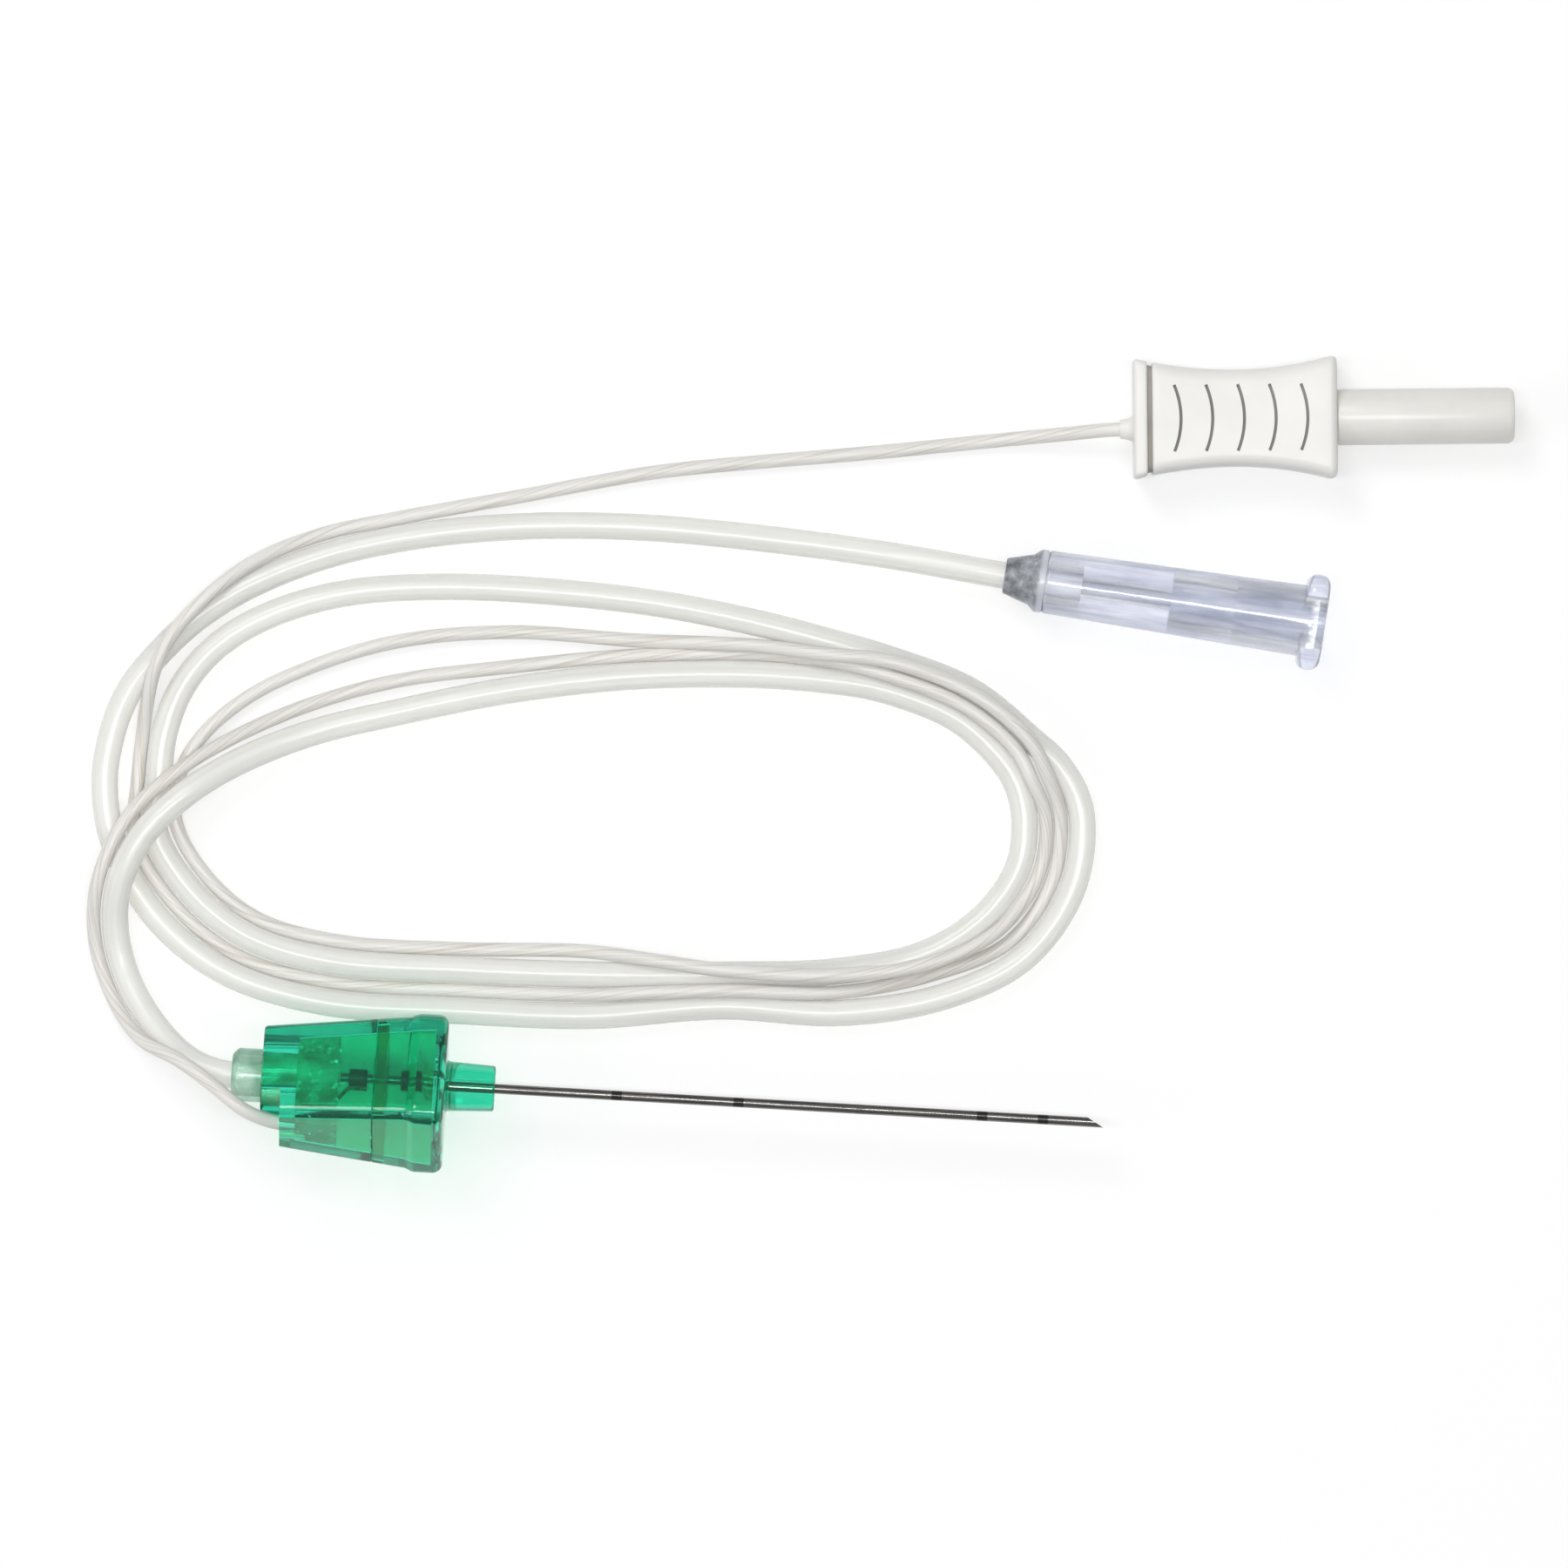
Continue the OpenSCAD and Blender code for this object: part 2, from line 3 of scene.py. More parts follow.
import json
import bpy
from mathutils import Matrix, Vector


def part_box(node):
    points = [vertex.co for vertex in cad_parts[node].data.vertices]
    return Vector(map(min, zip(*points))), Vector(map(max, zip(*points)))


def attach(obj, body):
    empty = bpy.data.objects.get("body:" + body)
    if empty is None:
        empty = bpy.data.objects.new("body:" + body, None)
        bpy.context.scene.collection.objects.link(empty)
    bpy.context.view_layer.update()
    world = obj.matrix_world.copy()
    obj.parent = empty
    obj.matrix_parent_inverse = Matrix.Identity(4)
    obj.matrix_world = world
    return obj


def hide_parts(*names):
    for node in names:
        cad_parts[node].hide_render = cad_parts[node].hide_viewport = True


bl_info = {
    "name": "Nerve Block Needle",
    "version": (1, 0, 0),
    "blender": (4, 5, 0),
    "location": "View3D > Sidebar > Needle",
    "description": "Dresses the packed needle set with its plastics, steel and soft cords, and sets stage and camera",
    "category": "Add Mesh",
}

from math import asin, cos, pi, radians, sin

import bmesh
import bpy
from bpy.props import FloatProperty, FloatVectorProperty, IntProperty, PointerProperty
from mathutils import Matrix, Vector

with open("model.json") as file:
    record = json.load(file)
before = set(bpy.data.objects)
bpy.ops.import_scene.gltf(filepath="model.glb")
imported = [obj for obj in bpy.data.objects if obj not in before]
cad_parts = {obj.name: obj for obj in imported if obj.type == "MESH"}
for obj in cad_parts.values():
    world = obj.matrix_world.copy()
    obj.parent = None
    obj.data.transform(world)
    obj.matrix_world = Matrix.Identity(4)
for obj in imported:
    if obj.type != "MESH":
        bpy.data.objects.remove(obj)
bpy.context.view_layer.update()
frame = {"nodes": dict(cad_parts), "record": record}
NODES = frame["nodes"]
MOUNTS = {m["name"]: m for m in frame["record"]["mounts"]}

MM = 0.001
# The needle's axis, its tip, and the front face of the hub's nose
AXIS_Y = MOUNTS["needle_shaft"]["pos_m"][1]
AXIS_Z = MOUNTS["needle_shaft"]["pos_m"][2]
TIP_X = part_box("cannula")[1].x
NOSE_X = TIP_X - 50 * MM
# How the connector and the plug lie
LUER_AT = Vector((25.2, 45.1, 2.95)) * MM
LUER_TURN = radians(-5.4)
PLUG_AT = Vector((35.05, 58.5, 3)) * MM
PLUG_TURN = radians(3.8)
# Turn of the hub about the needle
HUB_ROLL = radians(30)


def hub_point(u, v, z):
    """A point of the hub in metres, from millimetres across, up and along it from the nose's front face."""
    return Vector((
        NOSE_X + z * MM,
        AXIS_Y + (u * cos(HUB_ROLL) + v * sin(HUB_ROLL)) * MM,
        AXIS_Z + (v * cos(HUB_ROLL) - u * sin(HUB_ROLL)) * MM))


def plug_point(x, y, z):
    """A point of the plug in metres, from millimetres along, across and above its axis."""
    return PLUG_AT + Matrix.Rotation(PLUG_TURN, 3, "Z") @ Vector((x, y, z)) * MM


def luer_point(x, y, z):
    """A point of the connector in metres, from millimetres along, across and above its axis."""
    return LUER_AT + Matrix.Rotation(LUER_TURN, 3, "Z") @ Vector((x, y, z)) * MM


# The points of the part's own cord routes, in millimetres, without the first two and the last two
TUBE_LAY = (
    (-39.5, 1.7, 5.2), (-42.6, 4.4, 3.2), (-45, 8, 1.6), (-46.2, 12, 1.8), (-46, 16, 3.3), (-44.2, 20, 3.6),
    (-41, 23.4, 3.5), (-37, 26.2, 2.4), (-31, 29, 1.2), (-24, 31.1, 1.1), (-15, 33.4, 1.1), (-5, 35.1, 1.1),
    (5, 35.8, 1.1), (11, 35.7, 1.1), (15.7, 35.2, 1.1), (22, 33.1, 1.1), (26, 29.8, 1.1), (27.3, 27.8, 1.1),
    (28, 25.2, 1.1), (27.7, 21.2, 1.1), (25.1, 17, 1.1), (20.5, 13.7, 1.1), (13.2, 11.8, 1.1), (4, 11, 1.1),
    (-7, 10.4, 1.1), (-18, 10.2, 1.1), (-28.3, 10.3, 1.1), (-35.4, 12, 1.1), (-40.3, 15.5, 1.1),
    (-43.5, 20.3, 1.1), (-43.4, 24.4, 1.1), (-43.1, 28.4, 1.1), (-41.8, 32.3, 1.1), (-39.2, 35.7, 1.1),
    (-35, 38.5, 1.1), (-29, 40.6, 1.1), (-21, 41.6, 1.1), (-12, 41.7, 1.1), (-3, 41.2, 1.1), (5, 40.1, 1.1),
    (11, 38.9, 1.1), (16.2, 37.7, 1.1), (23.1, 35.4, 1.1), (28.1, 31.8, 1.1), (30.7, 29.6, 1.1),
    (32.6, 26.1, 1.1), (32.3, 19.8, 1.1), (28.6, 13.8, 1.1), (22.1, 10.2, 1.1), (13.7, 8.4, 1.1),
    (4, 8.4, 1.1), (-7, 7, 1.1), (-18, 6.8, 1.1), (-28.7, 6.9, 1.1), (-36.9, 8.9, 1.1), (-42.7, 12.9, 1.1),
    (-46.7, 18.9, 1.1), (-47.8, 24, 1.1), (-47.3, 28.5, 1.1), (-46.2, 31.6, 1.1), (-44.3, 34.4, 1.1),
    (-41.2, 37.7, 1.1), (-37, 40.7, 1.1), (-31, 43.5, 1.1), (-24, 45.5, 1.1), (-15, 46.9, 1.1),
    (-5, 47.4, 1.1), (6, 47, 1.1), (16, 46.2, 1.6),
)
LEAD_LAY = (
    (-34.5, -2.2, 8), (-37.2, -0.3, 8), (-40.2, 1.6, 6.8), (-43.6, 3.2, 4.4), (-46.4, 6.9, 1.6),
    (-47.9, 11.3, 1.5), (-47.8, 16, 2.9), (-45.7, 21.2, 3.1), (-42.1, 25, 3.1), (-37.8, 28, 2),
    (-31.8, 31.1, 0.8), (-24.5, 33.6, 0.6), (-15.3, 35.3, 0.6), (-5.1, 36.8, 0.6), (5, 37.5, 0.6),
    (11, 37.3, 2), (16, 36.4, 2.4), (22.5, 34.2, 2.5), (27, 30.8, 2.3), (28.4, 28.4, 2.3), (29.7, 25.6, 1.4),
    (29.4, 20.7, 0.7), (26.3, 15.9, 1.9), (20.8, 12.9, 2.7), (13.3, 11.5, 2.9), (4, 11.4, 2.8),
    (-2, 11.9, 2.5), (-7.5, 12.3, 0.9), (-18, 11.9, 0.6), (-28.1, 12, 0.6), (-34.7, 13.5, 0.6),
    (-39.1, 16.8, 0.6), (-41.8, 21.1, 0.6), (-41.6, 25.2, 0.6), (-39.9, 28.4, 0.6), (-36.2, 31.8, 0.6),
    (-30.5, 34.8, 0.6), (-24, 37, 0.6), (-15, 38.2, 0.6), (-5, 38.1, 0.6), (5, 38.2, 1.8), (11, 37.8, 3.2),
    (16.2, 37.5, 3.1), (23.1, 35.3, 3.1), (28, 31.7, 3), (29.6, 29, 2.4), (30.9, 25.8, 1.4), (30.6, 20.3, 0.6),
    (27.3, 15, 0.6), (21.2, 12, 0.6), (13.4, 10.1, 1.6), (4, 9.7, 2.4), (-2, 9.2, 2.1), (-7.5, 8.7, 1.6),
    (-18, 8.5, 0.6), (-28.5, 8.6, 0.6), (-36.2, 10.4, 0.6), (-41.5, 14.2, 0.6), (-45.1, 19.6, 0.6),
    (-45.1, 24.2, 0.6), (-44.9, 28.2, 0.7), (-44.6, 31, 1.9), (-44.1, 33.6, 2.9), (-42.9, 36.4, 2.9),
    (-40.2, 39.7, 2.7), (-36.5, 42.8, 1.8), (-31, 45.4, 0.8), (-25.5, 46.9, 0.6), (-15, 49.4, 0.6),
    (-4, 52, 0.6), (5, 53.4, 0.6), (13.7, 54.6, 0.6), (24, 56.2, 0.7), (29.5, 57, 1.8),
)
TUBE_ROUTE = [
    Vector((-30.3 * MM, AXIS_Y, AXIS_Z)),
    Vector((-36.5 * MM, AXIS_Y, AXIS_Z)),
    *(Vector(p) * MM for p in TUBE_LAY),
    luer_point(0, 0, 0),
    luer_point(6.38, 0, 0),
]
LEAD_ROUTE = [
    hub_point(-3.55, -1.4, -15.3),
    hub_point(-3.55, -1.4, -17.6),
    *(Vector(p) * MM for p in LEAD_LAY),
    plug_point(-1.1, -0.8, 0),
    plug_point(4.98, -0.8, 0),
]


def linear(code):
    """The linear colour of an sRGB hex value."""
    parts = [int(code[i:i + 2], 16) / 255 for i in (1, 3, 5)]
    return tuple(c / 12.92 if c <= 0.04045 else ((c + 0.055) / 1.055) ** 2.4 for c in parts)


def put(tree, kind, inputs=None, **settings):
    """Adds a node, gives it its settings, and fills or links its inputs."""
    made = tree.nodes.new(kind)
    for name, value in settings.items():
        setattr(made, name, value)
    for key, value in (inputs or {}).items():
        if isinstance(value, bpy.types.NodeSocket):
            tree.links.new(value, made.inputs[key])
        elif isinstance(value, (tuple, list)) and made.inputs[key].type == "RGBA" and len(value) == 3:
            made.inputs[key].default_value = (*value, 1)
        else:
            made.inputs[key].default_value = value
    return made


def ramp(tree, factor, *stops):
    """A colour that runs through the stops, each a place and a colour, as the factor rises."""
    made = put(tree, "ShaderNodeValToRGB", {0: factor})
    points = made.color_ramp.elements
    while len(points) < len(stops):
        points.new(1)
    for point, (place, colour) in zip(points, stops):
        point.position = place
        point.color = (*colour, 1)
    return made.outputs[0]


def dim(colour, share):
    """A darker shade of a colour."""
    return tuple(c * share for c in colour)


def blank_material(name):
    """A material with an empty node tree."""
    material = bpy.data.materials.new(name)
    material.use_nodes = True
    material.node_tree.nodes.clear()
    return material, material.node_tree


def close_material(tree, shader, lets_through=None):
    """Links the shader to the output, with light let through in a clear piece's shadow."""
    if lets_through is not None:
        path = put(tree, "ShaderNodeLightPath")
        clear = put(tree, "ShaderNodeBsdfTransparent", {"Color": lets_through})
        shader = put(tree, "ShaderNodeMixShader", {
            0: path.outputs["Is Shadow Ray"], 1: shader, 2: clear.outputs[0]}).outputs[0]
    put(tree, "ShaderNodeOutputMaterial", {"Surface": shader})


class NeedleSizes(bpy.types.PropertyGroup):
    """Sizes that shape the finer pieces."""
    tube_diameter: FloatProperty(
        name="Tube diameter", description="Outer diameter of the infusion tube", default=2.2 * MM, unit="LENGTH")
    lead_diameter: FloatProperty(
        name="Lead diameter", description="Outer diameter of the lead", default=1.15 * MM, unit="LENGTH")
    ring_spacing: FloatProperty(
        name="Ring spacing", description="Distance between two rings of a cord", default=0.7 * MM, unit="LENGTH")
    cord_sides: IntProperty(name="Cord sides", description="Sides of a cord's section", default=28, min=8, max=64)
    mark_width: FloatProperty(
        name="Mark width", description="Width of a dark depth band on the needle", default=0.85 * MM, unit="LENGTH")
    mark_pitch: FloatProperty(
        name="Mark pitch", description="Distance between two depth bands", default=10 * MM, unit="LENGTH")
    bubble_size: FloatProperty(
        name="Bubble size", description="Largest radius of a bubble in the adhesive", default=0.2 * MM,
        unit="LENGTH")
    flange_rim: FloatProperty(
        name="Flange rim", description="Radius of the hub flange's front rim", default=0.8 * MM, unit="LENGTH")
    grip_rounding: FloatProperty(
        name="Grip rounding", description="Radius of the grip's long edges", default=1.0 * MM, unit="LENGTH")


class NeedleColours(bpy.types.PropertyGroup):
    """Colours of the set's materials."""
    hub: FloatVectorProperty(
        name="Hub", description="Tint of the see-through hub", subtype="COLOR", default=linear("#2FDDB4"))
    tube: FloatVectorProperty(
        name="Tube", description="Colour of the milky tube", subtype="COLOR", default=linear("#F3F3F0"))
    lead: FloatVectorProperty(
        name="Lead", description="Colour of the lead's insulation", subtype="COLOR", default=linear("#E9E7E3"))
    luer: FloatVectorProperty(
        name="Luer", description="Tint of the clear connector", subtype="COLOR", default=linear("#ECEEF2"))
    grip: FloatVectorProperty(
        name="Grip", description="Colour of the plug's grip", subtype="COLOR", default=linear("#EFEEEB"))
    shroud: FloatVectorProperty(
        name="Shroud", description="Colour of the plug's shroud", subtype="COLOR", default=linear("#EFEDE8"))
    steel: FloatVectorProperty(
        name="Steel", description="Colour of the coated needle", subtype="COLOR", default=linear("#8F8D8A"))


def needle_steel(sizes, colours):
    """Ground stainless steel tube under a thin clear coat: a dark grey sheen, fine lines and dark depth bands."""
    material, tree = blank_material("coated ground stainless steel")
    spot = put(tree, "ShaderNodeTexCoord")
    parts = put(tree, "ShaderNodeSeparateXYZ", {0: spot.outputs["Object"]})
    far = put(tree, "ShaderNodeMath", {0: TIP_X, 1: parts.outputs["X"]}, operation="SUBTRACT").outputs[0]
    # The bands at each ten millimetres from the tip, then the one at five; the one at twenty is worn faint
    swing = put(tree, "ShaderNodeMath", {0: far, 1: sizes.mark_pitch / 2}, operation="PINGPONG").outputs[0]
    tens = put(tree, "ShaderNodeMath", {0: swing, 1: sizes.mark_width / 2}, operation="LESS_THAN").outputs[0]
    fives = put(tree, "ShaderNodeMath", {0: swing, 1: (sizes.mark_pitch - sizes.mark_width) / 2},
                operation="GREATER_THAN").outputs[0]
    shown = put(tree, "ShaderNodeMath", {0: far, 1: 25 * MM, 2: 20 * MM}, operation="COMPARE").outputs[0]
    near = put(tree, "ShaderNodeMath", {0: far, 1: 8 * MM}, operation="LESS_THAN").outputs[0]
    worn = put(tree, "ShaderNodeMath", {0: far, 1: 20 * MM, 2: 2 * MM}, operation="COMPARE").outputs[0]
    kept = put(tree, "ShaderNodeMath", {0: worn, 1: -0.7, 2: 1.0}, operation="MULTIPLY_ADD").outputs[0]
    tens = put(tree, "ShaderNodeMath", {0: tens, 1: shown}, operation="MULTIPLY").outputs[0]
    tens = put(tree, "ShaderNodeMath", {0: tens, 1: kept}, operation="MULTIPLY").outputs[0]
    fives = put(tree, "ShaderNodeMath", {0: fives, 1: near}, operation="MULTIPLY").outputs[0]
    band = put(tree, "ShaderNodeMath", {0: tens, 1: fives}, operation="ADD", use_clamp=True).outputs[0]
    # Grinding lines 0.07 mm apart round the shaft and 4 mm long
    stretched = put(tree, "ShaderNodeMapping", {"Vector": spot.outputs["Object"], "Scale": (250, 14000, 14000)})
    lines = put(tree, "ShaderNodeTexNoise", {
        "Vector": stretched.outputs[0], "Scale": 1, "Detail": 3, "Roughness": 0.6}).outputs["Fac"]
    tone = ramp(tree, lines, (0.32, dim(colours.steel, 0.3)), (0.68, tuple(colours.steel)))
    inked = put(tree, "ShaderNodeMix", {0: band, 6: tone, 7: linear("#14110D")}, data_type="RGBA").outputs[2]
    metal = put(tree, "ShaderNodeMath", {0: 1.0, 1: band}, operation="SUBTRACT").outputs[0]
    rough = put(tree, "ShaderNodeMapRange", {0: lines, 3: 0.14, 4: 0.3}).outputs[0]
    grain = put(tree, "ShaderNodeBump", {"Height": lines, "Strength": 0.3, "Distance": 0.01 * MM}).outputs[0]
    shader = put(tree, "ShaderNodeBsdfPrincipled", {
        "Base Color": inked, "Metallic": metal, "Roughness": rough, "Normal": grain,
        "Coat Weight": 0.3, "Coat Roughness": 0.06})
    close_material(tree, shader.outputs[0])
    return material


def hub_plastic(sizes, colours):
    """Injection-moulded clear copolyester, dyed emerald: polished, deep in colour, with soft flow clouds, and painted
    shade that darkens its tint towards the bottom.
    """
    material, tree = blank_material("emerald clear copolyester")
    spot = put(tree, "ShaderNodeTexCoord").outputs["Object"]
    flow = put(tree, "ShaderNodeTexNoise", {"Vector": spot, "Scale": 420, "Detail": 3, "Distortion": 0.6}).outputs["Fac"]
    fine = put(tree, "ShaderNodeTexNoise", {"Vector": spot, "Scale": 2600, "Detail": 2}).outputs["Fac"]
    # Painted shade: the tint grows darker towards the bottom of the hub, by height blurred with the flow clouds
    height = put(tree, "ShaderNodeSeparateXYZ", {0: spot}).outputs["Z"]
    painted_shade_height = put(tree, "ShaderNodeMath", {0: flow, 1: 3 * MM, 2: height}, operation="MULTIPLY_ADD").outputs[0]
    rise = put(tree, "ShaderNodeMapRange", {0: painted_shade_height, 1: 2 * MM, 2: 7 * MM}).outputs[0]
    tint = ramp(tree, rise, (0.0, dim(colours.hub, 0.3)), (0.45, dim(colours.hub, 0.75)), (1.0, tuple(colours.hub)))
    rough = put(tree, "ShaderNodeMapRange", {0: fine, 3: 0.03, 4: 0.13}).outputs[0]
    ripple = put(tree, "ShaderNodeBump", {"Height": flow, "Strength": 0.12, "Distance": 0.08 * MM}).outputs[0]
    shader = put(tree, "ShaderNodeBsdfPrincipled", {
        "Base Color": tint, "Roughness": rough, "Normal": ripple, "IOR": 1.55, "Transmission Weight": 0.97})
    close_material(tree, shader.outputs[0], linear("#D2F1E6"))
    return material


def clear_plastic(name, tint, cloud, rough, scale, transmission, through, bumpy=0.3):
    """A clear or cloudy plastic whose clouds are patches of a second tint, with waves in its surface."""
    material, tree = blank_material(name)
    spot = put(tree, "ShaderNodeTexCoord").outputs["Object"]
    patch = put(tree, "ShaderNodeTexNoise", {"Vector": spot, "Scale": scale, "Detail": 4}).outputs["Fac"]
    colour = ramp(tree, patch, (0.38, linear(cloud)), (0.6, linear(tint)))
    wave = put(tree, "ShaderNodeBump", {"Height": patch, "Strength": bumpy, "Distance": 0.1 * MM}).outputs[0]
    gloss = put(tree, "ShaderNodeMapRange", {0: patch, 3: rough * 1.6, 4: rough * 0.6}).outputs[0]
    shader = put(tree, "ShaderNodeBsdfPrincipled", {
        "Base Color": colour, "Roughness": gloss, "Normal": wave, "IOR": 1.5, "Transmission Weight": transmission})
    close_material(tree, shader.outputs[0], linear(through))
    return material


def luer_plastic(colours):
    """Clear polycarbonate with a violet tint: long draw streaks and soft clouds, as it was moulded."""
    material, tree = blank_material("violet-tinted clear polycarbonate")
    spot = put(tree, "ShaderNodeTexCoord").outputs["Object"]
    laid = put(tree, "ShaderNodeMapping", {"Vector": spot, "Rotation": (0, 0, -LUER_TURN)}).outputs[0]
    drawn = put(tree, "ShaderNodeMapping", {"Vector": laid, "Scale": (90, 900, 900)}).outputs[0]
    streak = put(tree, "ShaderNodeTexNoise", {"Vector": drawn, "Scale": 1, "Detail": 4, "Roughness": 0.6}).outputs["Fac"]
    colour = ramp(tree, streak, (0.36, linear("#B2B6C1")), (0.6, tuple(colours.luer)))
    gloss = put(tree, "ShaderNodeMapRange", {0: streak, 3: 0.2, 4: 0.06}).outputs[0]
    wave = put(tree, "ShaderNodeBump", {"Height": streak, "Strength": 0.3, "Distance": 0.06 * MM}).outputs[0]
    shader = put(tree, "ShaderNodeBsdfPrincipled", {
        "Base Color": colour, "Roughness": gloss, "Normal": wave, "IOR": 1.5, "Transmission Weight": 0.82})
    close_material(tree, shader.outputs[0], linear("#ECEDF6"))
    return material


def sleeve_plastic():
    """Grey frosted sleeve: mottled dark where the adhesive wets it, with a pale ring where it meets the body."""
    material, tree = blank_material("grey frosted sleeve plastic")
    spot = put(tree, "ShaderNodeTexCoord").outputs["Object"]
    moved = put(tree, "ShaderNodeVectorMath", {0: spot, 1: tuple(LUER_AT)}, operation="SUBTRACT").outputs[0]
    laid = put(tree, "ShaderNodeMapping", {"Vector": moved, "Rotation": (0, 0, -LUER_TURN)}).outputs[0]
    along = put(tree, "ShaderNodeSeparateXYZ", {0: laid}).outputs["X"]
    mottle = put(tree, "ShaderNodeTexNoise", {"Vector": spot, "Scale": 900, "Detail": 4, "Roughness": 0.7}).outputs["Fac"]
    grey = ramp(tree, mottle, (0.36, linear("#73777C")), (0.5, linear("#A3A7AC")), (0.66, linear("#D5D8DE")))
    ring = put(tree, "ShaderNodeMapRange", {0: along, 1: 2.7 * MM, 2: 3.0 * MM}).outputs[0]
    colour = put(tree, "ShaderNodeMix", {0: ring, 6: grey, 7: linear("#E6E8F0")}, data_type="RGBA").outputs[2]
    wave = put(tree, "ShaderNodeBump", {"Height": mottle, "Strength": 0.4, "Distance": 0.08 * MM}).outputs[0]
    shader = put(tree, "ShaderNodeBsdfPrincipled", {
        "Base Color": colour, "Roughness": 0.24, "Normal": wave, "IOR": 1.5, "Transmission Weight": 0.5})
    close_material(tree, shader.outputs[0], linear("#D2D4DA"))
    return material


def tube_pvc(sizes, colours):
    """Extruded soft PVC: milky, smooth and slightly see-through, with faint draw lines along it."""
    material, tree = blank_material("milky soft PVC")
    lay = put(tree, "ShaderNodeAttribute", attribute_name="lay").outputs["Vector"]
    drawn = put(tree, "ShaderNodeMapping", {"Vector": lay, "Scale": (2.2, 2.2, 30)}).outputs[0]
    lines = put(tree, "ShaderNodeTexNoise", {"Vector": drawn, "Scale": 1, "Detail": 3}).outputs["Fac"]
    tint = ramp(tree, lines, (0.35, dim(colours.tube, 0.9)), (0.62, tuple(colours.tube)))
    rough = put(tree, "ShaderNodeMapRange", {0: lines, 3: 0.16, 4: 0.3}).outputs[0]
    shader = put(tree, "ShaderNodeBsdfPrincipled", {
        "Base Color": tint, "Roughness": rough, "IOR": 1.42, "Transmission Weight": 0.3,
        "Subsurface Weight": 0.3, "Subsurface Radius": (1, 1, 1), "Subsurface Scale": 0.6 * MM})
    close_material(tree, shader.outputs[0], linear("#E4E3DF"))
    return material


def lead_insulation(sizes, colours):
    """Extruded white insulation over twisted strands, which show as faint slanting streaks."""
    material, tree = blank_material("white lead insulation")
    lay = put(tree, "ShaderNodeAttribute", attribute_name="lay").outputs["Vector"]
    along = put(tree, "ShaderNodeMapping", {"Vector": lay, "Scale": (3, 3, 55)}).outputs[0]
    streak = put(tree, "ShaderNodeTexNoise", {
        "Vector": along, "Scale": 1, "Detail": 3, "Roughness": 0.55}).outputs["Fac"]
    tint = ramp(tree, streak, (0.34, linear("#D3CDC4")), (0.52, tuple(colours.lead)))
    ridge = put(tree, "ShaderNodeBump", {"Height": streak, "Strength": 0.2, "Distance": 0.03 * MM}).outputs[0]
    shader = put(tree, "ShaderNodeBsdfPrincipled", {
        "Base Color": tint, "Roughness": 0.34, "Normal": ridge, "IOR": 1.48,
        "Subsurface Weight": 0.2, "Subsurface Radius": (1, 1, 1), "Subsurface Scale": 0.3 * MM})
    close_material(tree, shader.outputs[0])
    return material


def moulded_plastic(name, colour, rough, dark):
    """An opaque satin moulding with spark-eroded grain of about 0.08 mm and slightly darker patches."""
    material, tree = blank_material(name)
    spot = put(tree, "ShaderNodeTexCoord").outputs["Object"]
    patch = put(tree, "ShaderNodeTexNoise", {"Vector": spot, "Scale": 220, "Detail": 3}).outputs["Fac"]
    tint = ramp(tree, patch, (0.35, dim(colour, dark)), (0.65, tuple(colour)))
    grain = put(tree, "ShaderNodeTexNoise", {"Vector": spot, "Scale": 12000, "Detail": 1}).outputs["Fac"]
    pitted = put(tree, "ShaderNodeBump", {"Height": grain, "Strength": 0.15, "Distance": 0.01 * MM}).outputs[0]
    sheen = put(tree, "ShaderNodeMapRange", {0: patch, 3: rough * 1.15, 4: rough * 0.85}).outputs[0]
    shader = put(tree, "ShaderNodeBsdfPrincipled", {
        "Base Color": tint, "Roughness": sheen, "Normal": pitted, "IOR": 1.5,
        "Subsurface Weight": 0.1, "Subsurface Radius": (1, 1, 1), "Subsurface Scale": 0.4 * MM})
    close_material(tree, shader.outputs[0])
    return material


def turned_metal(name, light, dark, rough):
    """Bare metal with dull patches where it was handled or crimped."""
    material, tree = blank_material(name)
    spot = put(tree, "ShaderNodeTexCoord").outputs["Object"]
    patch = put(tree, "ShaderNodeTexNoise", {"Vector": spot, "Scale": 2200, "Detail": 4}).outputs["Fac"]
    tint = ramp(tree, patch, (0.35, linear(dark)), (0.65, linear(light)))
    gloss = put(tree, "ShaderNodeMapRange", {0: patch, 3: rough * 1.4, 4: rough * 0.7}).outputs[0]
    shader = put(tree, "ShaderNodeBsdfPrincipled", {"Base Color": tint, "Metallic": 1.0, "Roughness": gloss})
    close_material(tree, shader.outputs[0])
    return material


def smooth_route(points, radius, step=0.5 * MM):
    """One smooth line through all the points, never lower than a cord of that radius lies."""
    ends = [points[0] * 2 - points[1], *points, points[-1] * 2 - points[-2]]
    line = []
    for a, b, c, d in zip(ends, ends[1:], ends[2:], ends[3:]):
        t1 = (b - a).length ** 0.5
        t2 = t1 + (c - b).length ** 0.5
        t3 = t2 + (d - c).length ** 0.5
        count = max(1, round((c - b).length / step))
        for i in range(count):
            t = t1 + (t2 - t1) * i / count
            ab = a.lerp(b, t / t1)
            bc = b.lerp(c, (t - t1) / (t2 - t1))
            cd = c.lerp(d, (t - t2) / (t3 - t2))
            p = ab.lerp(bc, t / t2).lerp(bc.lerp(cd, (t - t1) / (t3 - t1)), (t - t1) / (t2 - t1))
            line.append(Vector((p.x, p.y, max(p.z, radius))))
    line.append(points[-1].copy())
    return line


